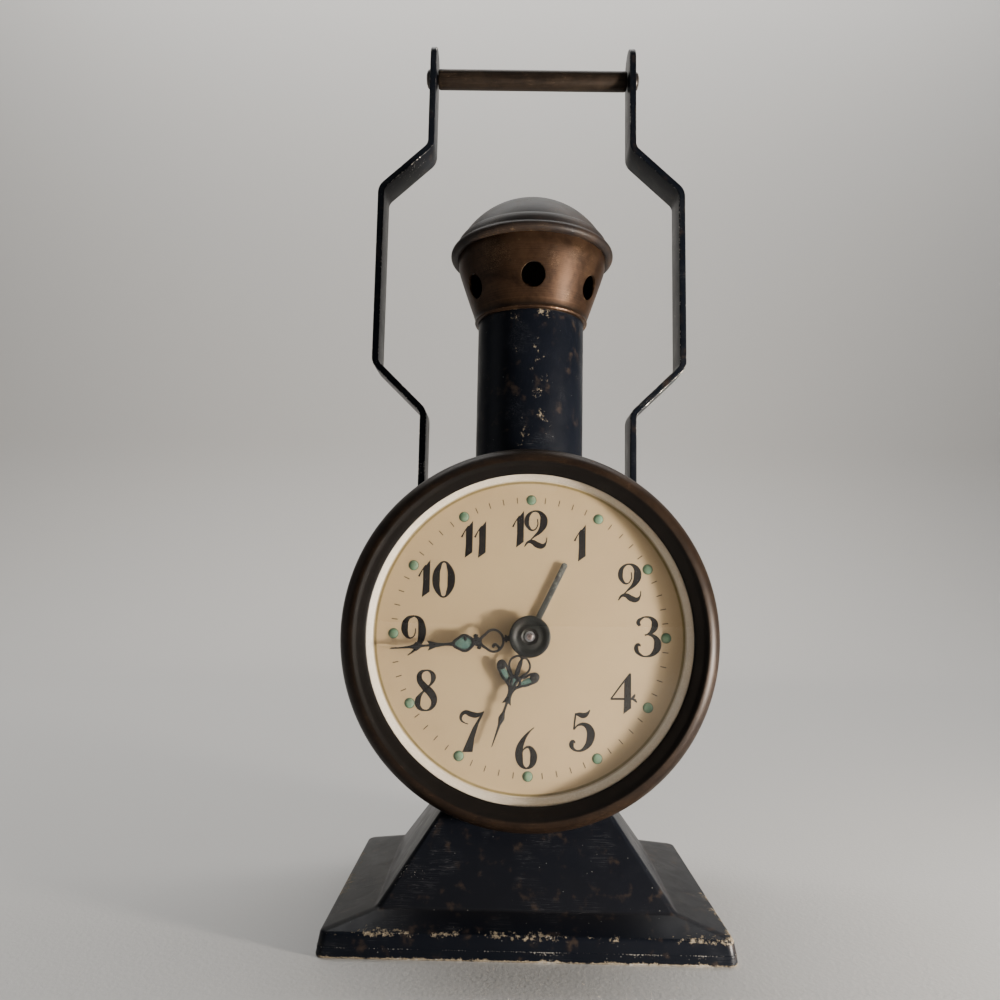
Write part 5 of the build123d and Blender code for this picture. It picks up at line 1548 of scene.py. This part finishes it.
HOUR_MARKS: tuple[Mark, ...] = (
    Stroke(((3.4, 0.0, 2.6), (4.6, 0.0, 1.6), (5.6, 0.0, 0.8))),
    Stroke(((5.3, -0.25, 0.42), (6.0, -2.05, 0.38), (7.5, -2.45, 0.38), (9.1, -1.6, 0.42),
            (10.2, -0.35, 0.55), (8.6, -0.30, 0.42), (6.9, -0.25, 0.42)), True),
    Stroke(((5.3, 0.25, 0.42), (6.0, 2.05, 0.38), (7.5, 2.45, 0.38), (9.1, 1.6, 0.42), (10.2, 0.35, 0.55),
            (8.6, 0.30, 0.42), (6.9, 0.25, 0.42)), True),
    Stroke(((12.2, -0.65, 0.5), (11.5, -2.05, 0.42), (10.2, -3.75, 0.42), (8.7, -4.85, 0.5), (7.6, -4.4, 0.5),
            (8.0, -3.2, 0.42), (9.3, -2.1, 0.42), (10.4, -0.9, 0.45)), True),
    Stroke(((12.2, 0.65, 0.5), (11.6, 2.05, 0.42), (10.4, 3.85, 0.42), (9.0, 5.0, 0.5), (7.9, 4.7, 0.5),
            (8.15, 3.3, 0.42), (9.4, 2.1, 0.42), (10.4, 0.9, 0.45)), True),
    Stroke(((7.95, -4.05, 0.75), (8.5, -4.6, 0.75), (9.05, -4.05, 0.75), (8.5, -3.5, 0.75)), True),
    Stroke(((8.25, 4.15, 0.75), (8.8, 4.7, 0.75), (9.35, 4.15, 0.75), (8.8, 3.6, 0.75)), True),
    Stroke(((10.3, -1.0, 0.42), (12.3, -1.05, 0.5), (12.3, 1.05, 0.5), (10.3, 1.0, 0.42)), True),
    Stroke(((12.2, 0.0, 2.3), (13.0, 0.0, 1.45), (14.0, 0.0, 0.95), (14.9, 0.0, 0.95))),
    even((14.6, 0.45), (16.75, 1.12), (16.35, 0.28)),
    Stroke(((16.1, 0.0, 0.5), (17.3, 0.0, 0.45), (18.6, 0.0, 0.5))),
    even((18.3, 0.25), (20.1, 0.80), (21.8, 0.28)),
    Stroke(((21.6, 0.0, 0.5), (23.6, 0.0, 0.36), (25.6, 0.0, 0.22), (27.0, 0.0, 0.10))),
)


@dataclass(frozen=True)
class Drop:
    """A drop of luminous paint: its place along and across a hand, its half sizes, and its turn."""

    along: float
    across: float
    half: Pair
    turn: float = 0.0


@dataclass(frozen=True)
class Hand:
    """A pierced hand: what it is drawn with, the degrees clockwise from twelve it shows, and its back's y."""

    node: str
    body: str
    marks: tuple[Mark, ...]
    drops: tuple[Drop, ...]
    angle: float
    back: float


HANDS = (
    Hand("minute_hand", "minute_work", MINUTE_MARKS, (Drop(15.6, 0.2, (2.2, 1.45)),), 264.0, -31.45),
    Hand("hour_hand", "hour_work", HOUR_MARKS,
         (Drop(10.2, -2.95, (1.9, 0.95), 44.0), Drop(10.3, 3.05, (1.9, 0.95), -46.0),
          Drop(11.35, 0.0, (1.0, 1.0))),
         198.4, -30.6),
)
ALARM_MARKS: tuple[Mark, ...] = (
    even((0.8, 0.75), (18.9, 0.72), (19.3, 0.35)),
    Stroke(((2.6, 0.0, 0.8), (1.84, 1.84, 0.8), (0.0, 2.6, 0.8), (-1.84, 1.84, 0.8), (-2.6, 0.0, 0.8),
            (-1.84, -1.84, 0.8), (0.0, -2.6, 0.8), (1.84, -1.84, 0.8)), True),
)


@dataclass
class Hands:
    """Minute, hour and alarm hands and the hub that holds them."""

    thickness: float = 0.27
    weight: Pair = (1.22, 0.06)
    drop_h: float = 0.20
    drop_lift: float = 0.08
    drop_floor: float = 0.02
    alarm_angle: float = 25.8
    alarm_back: float = -29.75
    hub_r: float = 4.9

    def pierced(self, hand: Hand) -> Piece:
        """A stamped hand in its place.

        Args:
            hand: The hand.

        Returns:
            Its piece.
        """
        piece = penned(f"{hand.node}_pierced", hand.marks, self.thickness, 0.006, self.weight)
        rounded(piece, 0.035, 2, 40.0)
        piece.data.transform(on_dial(0.0, 0.0, hand.back, 90.0 - hand.angle))
        return piece

    def lume(self, hand: Hand) -> Piece:
        """Luminous paint in a hand's openings: balls pressed flat, with their undersides level.

        Args:
            hand: The hand that carries it.

        Returns:
            The joined drops.
        """
        drops = []
        for drop in hand.drops:
            piece = added(bpy.ops.mesh.primitive_uv_sphere_add, segments=32, ring_count=16, radius=MM)
            with editing(piece, everything):
                bpy.ops.transform.resize(value=(*drop.half, self.drop_h), center_override=(0, 0, 0))
                bpy.ops.transform.translate(value=mm(0.0, 0.0, self.drop_lift))
            with editing(piece, lambda place: place.z < 0.0):
                bpy.ops.transform.resize(value=(1.0, 1.0, 0.0), center_override=(0, 0, self.drop_floor * MM))
            spin = Matrix.Rotation(math.radians(drop.turn), 4, "Z")
            move = Matrix.Translation(mm(drop.along, drop.across, 0.0)) @ spin
            piece.data.transform(on_dial(0.0, 0.0, hand.back, 90.0 - hand.angle) @ move)
            drops.append(piece)
        return joined(f"{hand.node}_lume", drops)

    def hub(self) -> Piece:
        """The dished hub."""
        outline = [(self.hub_r, -31.75), (self.hub_r, -32.42), (4.72, -32.60), (4.35, -32.65), (3.9, -32.62),
                   (3.5, -32.45), (3.1, -32.30), (2.6, -32.30), (2.2, -32.40), (1.95, -32.42), (1.8, -32.30),
                   (1.6, -32.05), (1.2, -31.98), (1.2, -31.75)]
        return turned("hub_dished", outline, DRUM_AXIS, 96, 0.4, round_by=0.05)

    def pin(self) -> Piece:
        """The end of the arbor inside the hub."""
        outline = [(0.0, -32.62), (0.45, -32.60), (0.72, -32.48), (0.8, -32.3), (0.8, -31.8), (0.0, -31.8)]
        return turned("hub_pin", outline, DRUM_AXIS, 48, 0.5, closed=False)

    def alarm_hand(self) -> Piece:
        """The plain alarm hand with its round boss and cut tip."""
        piece = penned("alarm_hand_baton", ALARM_MARKS, self.thickness, 0.004)
        rounded(piece, 0.06, 2, 40.0)
        piece.data.transform(on_dial(0.0, 0.0, self.alarm_back, 90.0 - self.alarm_angle))
        return piece

    def build(self) -> None:
        """Builds and dresses the hands."""
        for hand in HANDS:
            fitted(self.pierced(hand), HAND_BLACK, hand.body, "hand_black", hand.node)
        for hand in HANDS:
            fitted(self.lume(hand), HAND_LUME, hand.body, "lume_green", soft=60.0)
        fitted(self.alarm_hand(), ALARM_HAND_METAL, "alarm_pointer", "alarm_hand_grey", "alarm_hand")
        fitted(self.hub(), HUB_BLACK, "minute_work", "hand_black", "hand_hub")
        fitted(self.pin(), HUB_PIN_METAL, "minute_work", "hand_black")


@dataclass
class Chimney:
    """Tube, vented cone and domed cap."""

    tube_r: float = 15.0
    wall: float = 0.6
    tube_low: float = 104.0
    tube_top: float = 158.0
    cone_low: float = 155.5
    cone_top: float = 177.0
    vent_z: float = 163.8
    vent_r: float = 3.2
    dome_r: float = 20.2
    dome_top: float = 191.8

    def tube(self) -> Piece:
        """The tube, cut to sit on the drum."""
        r, low, top = self.tube_r, self.tube_low, self.tube_top
        outline = [(r, low), (r, top), (r - self.wall, top), (r - self.wall, low)]
        return saddled(turned("chimney_pipe", outline, CHIMNEY_AXIS, 96, 2.0))

    def cone(self) -> Piece:
        """The flared cone with its rolled lower lip and six vents."""
        low = self.cone_low
        outer = [(15.35, low), (15.85, low + 0.15), (16.05, low + 0.55), (15.95, low + 1.0),
                 (15.98, low + 1.5), (16.9, low + 4.2), (18.6, low + 9.0), (20.05, low + 13.2),
                 (20.75, low + 15.4), (21.0, low + 16.6), (21.0, self.cone_top)]
        inner = [(20.4, self.cone_top), (20.4, low + 16.6), (19.4, low + 13.2), (17.9, low + 9.0),
                 (16.2, low + 4.2), (15.1, low + 1.0), (15.02, low)]
        piece = turned("vented_cone", outer + inner, CHIMNEY_AXIS, 160, 1.5)
        for turn in (-90.0, -30.0, 30.0):
            side = math.radians(turn)
            across = (math.cos(side), math.sin(side), 0.0)
            spindle = Spindle((0.0, CHIMNEY_Y, self.vent_z), across, (0.0, 0.0, 1.0))
            drilled(piece, spindle, self.vent_r, -30.0, 30.0, 48)
        return rounded(outward(piece), 0.12, 2, 40.0)

    def cap(self) -> Piece:
        """The cap: a rolled bead, a shoulder, a fine step and the dome."""
        bead = arc((21.975, 175.5), 1.35, -100.0, 78.0, 14)
        shoulder = [(22.15, 176.9), (22.0, 177.4), (21.75, 178.2), (21.35, 179.0), (20.95, 179.55),
                    (20.70, 179.85), (20.42, 179.95), (20.275, 180.25)]
        top = dome(self.dome_r, 180.35, self.dome_top, 22)
        inside = dome(self.dome_r - self.wall, 180.3, self.dome_top - self.wall, 16)[::-1]
        outline = bead + shoulder + top + inside + [(20.3, 179.0), (21.05, 177.1), (21.05, 174.4)]
        return turned("domed_cap", outline, CHIMNEY_AXIS, 160, 1.5)

    def build(self) -> None:
        """Builds and dresses the chimney."""
        fitted(self.tube(), CHIMNEY_BLACK, "case", "black_enamel", "chimney_tube")
        fitted(self.cone(), CONE_METAL, "case", "cone_brass", "chimney_cone")
        fitted(self.cap(), DOME_METAL, "case", "dome_bronze", "chimney_dome", soft=50.0)


def eased(corners: Sequence[Pair], radius: float, count: int) -> list[Pair]:
    """A path of straight runs with its inner corners bent to a radius, as on a bending block.

    Args:
        corners: The path's corners in mm.
        radius: Radius of the bends.
        count: Steps of each bend.

    Returns:
        The path with its bends.
    """
    path = [corners[0]]
    for before, corner, after in zip(corners, corners[1:], corners[2:]):
        back = (Vector(before) - Vector(corner)).normalized()
        on = (Vector(after) - Vector(corner)).normalized()
        half = back.angle(on) / 2
        reach = radius / math.tan(half)
        middle = Vector(corner) + (back + on).normalized() * (radius / math.sin(half))
        start, end = Vector(corner) + back * reach - middle, Vector(corner) + on * reach - middle
        sweep = start.angle_signed(end)
        for i in range(count + 1):
            point = middle + Matrix.Rotation(-sweep * i / count, 2) @ start
            path.append((point.x, point.y))
    return path + [corners[-1]]


@dataclass
class Handle:
    """The two bent straps, their rivets, the rod and the rolling grip."""

    near: float = 32.0
    far: float = 47.3
    bends: tuple[float, ...] = (134.0, 149.0, 205.6, 219.9)
    tip: float = 255.7
    width: float = 11.0
    strap: float = 2.0
    seat_r: float = 44.5
    foot: Pair = (24.55, 44.55)
    rivets: Pair = (53.45, 61.05)

    def path(self) -> list[Pair]:
        """The right strap's middle line, from its foot on the drum to its tip, as (x, z)."""
        foot = arc((0.0, DRUM_Z), self.seat_r, *self.foot, 8)
        low, high, fall, end = self.bends
        runs = [(self.near, foot[-1][1] + 1.2), (self.near, low), (self.far, high), (self.far, fall),
                (self.near, end), (self.near, self.tip)]
        return foot + eased(runs, 4.0, 6)

    def strap_piece(self, name: str, side: float) -> Piece:
        """One strap: its line drawn, pulled to width, its corners rounded, and given its thickness.

        Args:
            name: The piece's name.
            side: 1 for the right and -1 for the left.

        Returns:
            The strap.
        """
        path = self.path()
        front = STRAP_Y - self.width / 2
        piece = traced(name, [mm(side * x, front, z) for x, z in path])
        with editing(piece, everything):
            pulled(0.0, self.width, 0.0)
        top, low = self.tip - 0.01, path[0][1] + 0.01
        with editing(piece, lambda place: place.z > top):
            bpy.ops.mesh.bevel(offset=5.3 * MM, segments=10, affect="VERTICES")
        with editing(piece, lambda place: place.z < low):
            bpy.ops.mesh.bevel(offset=2.5 * MM, segments=6, affect="VERTICES")
        return rounded(thickened(outward(piece), self.strap, 0.0), 0.28, 3, 40.0)

    def rivet(self, side: float, angle: float) -> Piece:
        """A domed rivet, square to the drum.

        Args:
            side: 1 for the right and -1 for the left.
            angle: How far it stands round the drum from the top, in degrees.

        Returns:
            The rivet.
        """
        turn = math.radians(angle)
        along = (side * math.sin(turn), 0.0, math.cos(turn))
        spindle = Spindle((0.0, STRAP_Y, DRUM_Z), along, (0.0, 1.0, 0.0))
        outline = [(0.0, 46.7), (0.8, 46.62), (1.5, 46.35), (2.05, 45.95), (2.35, 45.55), (2.4, 45.4),
                   (1.2, 45.4), (1.2, 42.9), (1.9, 42.7), (1.9, 42.3), (0.0, 42.2)]
        return turned("rivet", outline, spindle, 40, 2.0, closed=False, round_by=0.05)

    def rod(self) -> Piece:
        """The rod with a domed head outside each strap."""
        half = [(1.6, 0.0), (1.6, 33.0), (2.9, 33.0), (3.0, 33.25), (2.9, 33.8), (2.45, 34.25), (1.6, 34.52),
                (0.0, 34.6)]
        outline = [(r, -x) for r, x in reversed(half)] + half[1:]
        return turned("handle_bar", outline, GRIP_AXIS, 48, 2.0, closed=False, round_by=0.08)

    def grip(self) -> Piece:
        """The tube that rolls on the rod, its ends turned in a little."""
        end = [(3.1, 29.9), (2.95, 30.5), (2.6, 30.7), (2.2, 30.65), (1.9, 30.2)]
        outline = end + [(r, -x) for r, x in reversed(end)]
        return turned("grip_sleeve", outline, GRIP_AXIS, 64, 2.0, round_by=0.06)

    def build(self) -> None:
        """Builds and dresses the handle."""
        for side, name in ((-1.0, "left"), (1.0, "right")):
            piece = self.strap_piece(f"bent_strap_{name}", side)
            fitted(piece, STRAP_BLACK, "case", "black_enamel", f"handle_strap_{name}")
        rivets = [self.rivet(side, angle) for side in (-1.0, 1.0) for angle in self.rivets]
        fitted(joined("strap_rivets", rivets), RIVET_METAL, "case", "dark_rivet", "handle_foot_rivets")
        fitted(self.rod(), RIVET_METAL, "case", "grip_bronze", "handle_rod")
        fitted(self.grip(), GRIP_METAL, "grip", "grip_bronze", "grip_tube")


@dataclass
class RearFittings:
    """Winding keys and setting knobs."""

    inner_y: float = 27.75
    key_end: float = 38.75
    wing: Triple = (20.0, 9.35, 1.8)
    wing_corner: float = 3.9
    wing_hole: Pair = (6.0, 1.87)
    knob_r: float = 5.2
    knob_l: float = 5.0
    ridge_r: float = 0.42
    ridges: int = 24
    bore_r: float = 1.25

    def key(self, name: str, spot: Pair) -> Piece:
        """A key: a pierced wing on a bored hub.

        Args:
            name: The piece's name.
            spot: Its axis, as (x, z) from the drum's.

        Returns:
            The key.
        """
        x, z = spot
        width, length, thick = self.wing
        middle_y = self.key_end - length / 2
        level = DRUM_Z + z
        wing = plate((width, length), self.wing_corner, level - thick / 2, level + thick / 2, (x, middle_y))
        away, hole_r = self.wing_hole
        for side in (-1.0, 1.0):
            spindle = Spindle((x + side * away, middle_y, 0.0), (0.0, 0.0, 1.0), (1.0, 0.0, 0.0))
            drilled(wing, spindle, hole_r, level - 5.0, level + 5.0)
        drilled(wing, rear_axis(x, z), 2.0, 20.0, self.inner_y + 4.4)
        rounded(outward(wing), 0.35)
        low = self.inner_y
        outline = [(0.0, low + 4.4), (2.0, low + 4.4), (2.0, low), (2.6, low), (2.8, low + 0.25),
                   (2.8, low + 4.6), (2.5, low + 6.2), (1.6, low + 7.65), (0.0, low + 8.25)]
        hub = turned("hub", outline, rear_axis(x, z), 48, 2.0, closed=False)
        return joined(name, [wing, hub])

    def knob(self, name: str, spot: Pair) -> Piece:
        """A milled knob: a dished core with ridges round it, one modelled and the rest copied.

        Args:
            name: The piece's name.
            spot: Its axis, as (x, z) from the drum's.

        Returns:
            The knob.
        """
        x, z = spot
        low, high = self.inner_y, self.inner_y + self.knob_l
        core_r = self.knob_r - self.ridge_r
        outline = [(0.0, low + 3.0), (self.bore_r, low + 3.0), (self.bore_r, low), (core_r, low),
                   (core_r, high - 0.3), (core_r - 0.35, high), (3.7, high), (3.3, high - 0.35),
                   (2.4, high - 0.6), (0.0, high - 0.65)]
        core = turned("knob_core", outline, rear_axis(x, z), 96, 0.8, closed=False, round_by=0.06)
        shape = [(0.0, low + 0.1), (self.ridge_r * 0.7, low + 0.1), (self.ridge_r, low + 0.3),
                 (self.ridge_r, high - 0.6), (self.ridge_r * 0.7, high - 0.4), (0.0, high - 0.4)]
        pattern = turned("knob_ridge", shape, rear_axis(x + core_r, z), 12, 2.0, closed=False)
        out, back = (Matrix.Translation(side * mm(x, 0.0, DRUM_Z + z)) for side in (1.0, -1.0))
        spins = (Matrix.Rotation(FULL_TURN * i / self.ridges, 4, "Y") for i in range(self.ridges))
        ridges = repeated("knob_ridges", pattern, (out @ spin @ back for spin in spins))
        return joined(name, [core, ridges])

    def build(self) -> None:
        """Builds and dresses the fittings."""
        for name, spot, body in (("time", TIME_KEY_SPOT, "time_winder"),
                                 ("alarm", ALARM_KEY_SPOT, "alarm_winder")):
            fitted(self.key(f"{name}_key_winged", spot), KNOB_METAL, body, "knob_brass", f"{name}_key")
        for name, spot, body in (("time", (0.0, 0.0), "minute_work"), ("alarm", SETTER_SPOT, "alarm_setter")):
            fitted(self.knob(f"{name}_knob_milled", spot), KNOB_METAL, body, "knob_brass", f"{name}_set_knob")


@dataclass
class Movement:
    """The CAD pieces that keep their shape and take a finish."""

    finishes: tuple[tuple[Finish, tuple[str, ...]], ...] = (
        (MOVEMENT_BRASS, ("front_plate", "back_plate", "time_great_wheel", "alarm_great_wheel",
                          "centre_wheel", "third_wheel", "fourth_wheel", "escape_wheel", "minute_wheel",
                          "hour_wheel", "alarm_wheel", "alarm_escape_wheel", "balance_wheel")),
        (MOVEMENT_STEEL, ("plate_pillars", "cover_posts", "movement_holder", "time_winding_arbor",
                          "alarm_winding_arbor", "pallet_lever", "regulator", "centre_arbor",
                          "alarm_set_arbor", "alarm_hammer", "bell_post")),
        (BELL_METAL, ("alarm_bell",)),
        (SPRING_METAL, ("time_mainspring", "alarm_mainspring", "hairspring")),
        (FASTENER_METAL, ("base_bolts", "base_nuts", "rear_cover_screws", "pillar_nuts", "holder_screws")),
        (KNOB_METAL, ("stop_button",)),
    )

    def build(self) -> None:
        """Dresses every carried-over node."""
        for finish, names in self.finishes:
            for name in names:
                finish.on(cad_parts[name])
                log.info("%s: dressed in %s", name, finish.name)


@dataclass(frozen=True)
class Lamp:
    """A soft box: its place and aim in mm, its size in mm, its power in watts and its colour."""

    name: str
    place: Triple
    aim: Triple
    size: Pair
    power: float
    tint: Triple

    def light(self) -> None:
        """Adds the lamp to the scene."""
        light = bpy.data.lights.new(self.name, "AREA")
        light.shape = "RECTANGLE"
        light.size, light.size_y = (side * MM for side in self.size)
        light.energy = self.power
        light.color = self.tint
        holder = bpy.data.objects.new(self.name, light)
        holder.location = Vector(self.place) * MM
        holder.rotation_euler = (Vector(self.aim) - Vector(self.place)).to_track_quat("-Z", "Y").to_euler()
        bpy.context.scene.collection.objects.link(holder)


LAMPS = (
    Lamp("key_low_right", (300.0, -172.0, 14.0), (0.0, -20.0, 80.0), (40.0, 40.0), 5.5, (1.0, 0.92, 0.82)),
    Lamp("top_front", (-120.0, -520.0, 620.0), (0.0, 0.0, 100.0), (520.0, 420.0), 0.35, (0.84, 0.92, 1.0)),
    Lamp("left_wall", (-620.0, -120.0, 260.0), (0.0, 0.0, 120.0), (320.0, 520.0), 0.25, (0.95, 0.97, 1.0)),
    Lamp("back_wash", (0.0, 330.0, 1250.0), (0.0, 640.0, 120.0), (1600.0, 400.0), 15.0, (1.0, 0.985, 0.96)),
)


@dataclass
class Studio:
    """Floor, backdrop, lamps and camera."""

    focal_px: float = 770.446
    image_px: float = 1000.0
    eye: Triple = (-5.869, -215.976, 81.945)
    right: Triple = (0.9998053, 0.0075669, 0.0182243)
    down: Triple = (0.0173001, 0.1081097, -0.9939884)
    forward: Triple = (-0.0094916, 0.9941102, 0.1079578)
    air: Triple = (0.82, 0.86, 0.92)
    air_strength: float = 0.045
    bend_r: float = 250.0
    half_width: float = 3200.0

    def sweep(self) -> None:
        """A pale paper sweep: floor, curve and wall."""
        runs = [(-3000.0, 0.0), *arc((450.0, self.bend_r), self.bend_r, -90.0, 0.0, 15), (700.0, 1700.0)]
        piece = traced("studio_sweep", [mm(-self.half_width, y, z) for y, z in runs])
        with editing(piece, everything):
            pulled(2 * self.half_width, 0.0, 0.0)
        only(outward(piece))
        bpy.ops.object.shade_smooth_by_angle(angle=math.radians(30.0))
        STUDIO_PAPER.on(piece)

    def camera(self) -> None:
        """The camera at the photograph's angle."""
        lens = bpy.data.cameras.new("photo_camera")
        lens.sensor_fit = "HORIZONTAL"
        lens.sensor_width = SENSOR_MM
        lens.lens = self.focal_px / self.image_px * SENSOR_MM
        lens.clip_start = 0.01
        holder = bpy.data.objects.new("photo_camera", lens)
        up, back = (tuple(-part for part in axis) for axis in (self.down, self.forward))
        turn = Matrix((self.right, up, back)).transposed()
        holder.matrix_world = Matrix.Translation(Vector(self.eye) * MM) @ turn.to_4x4()
        bpy.context.scene.collection.objects.link(holder)
        bpy.context.scene.camera = holder

    def world(self) -> None:
        """An even, faint surround."""
        sky = bpy.data.worlds.new("studio_air")
        sky.use_nodes = True
        background = sky.node_tree.nodes["Background"]
        background.inputs[0].default_value = (*self.air, 1.0)
        background.inputs[1].default_value = self.air_strength
        bpy.context.scene.world = sky

    def build(self) -> None:
        """Sets up the studio."""
        self.sweep()
        for lamp in LAMPS:
            lamp.light()
        self.camera()
        self.world()


def main() -> None:
    """Builds every sub-assembly in order and reports each piece."""
    logging.basicConfig(level=logging.INFO, format="%(name)s %(message)s")
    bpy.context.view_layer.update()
    for assembly in (Studio(), Base(), Drum(), Front(), Dial(), Hands(), Chimney(), Handle(), RearFittings(),
                     Movement()):
        assembly.build()
        log.info("%s built", type(assembly).__name__)
    nib = bpy.data.objects.get("pen_nib")
    if nib is not None:
        bpy.data.objects.remove(nib)


if __name__ == "__main__":
    main()
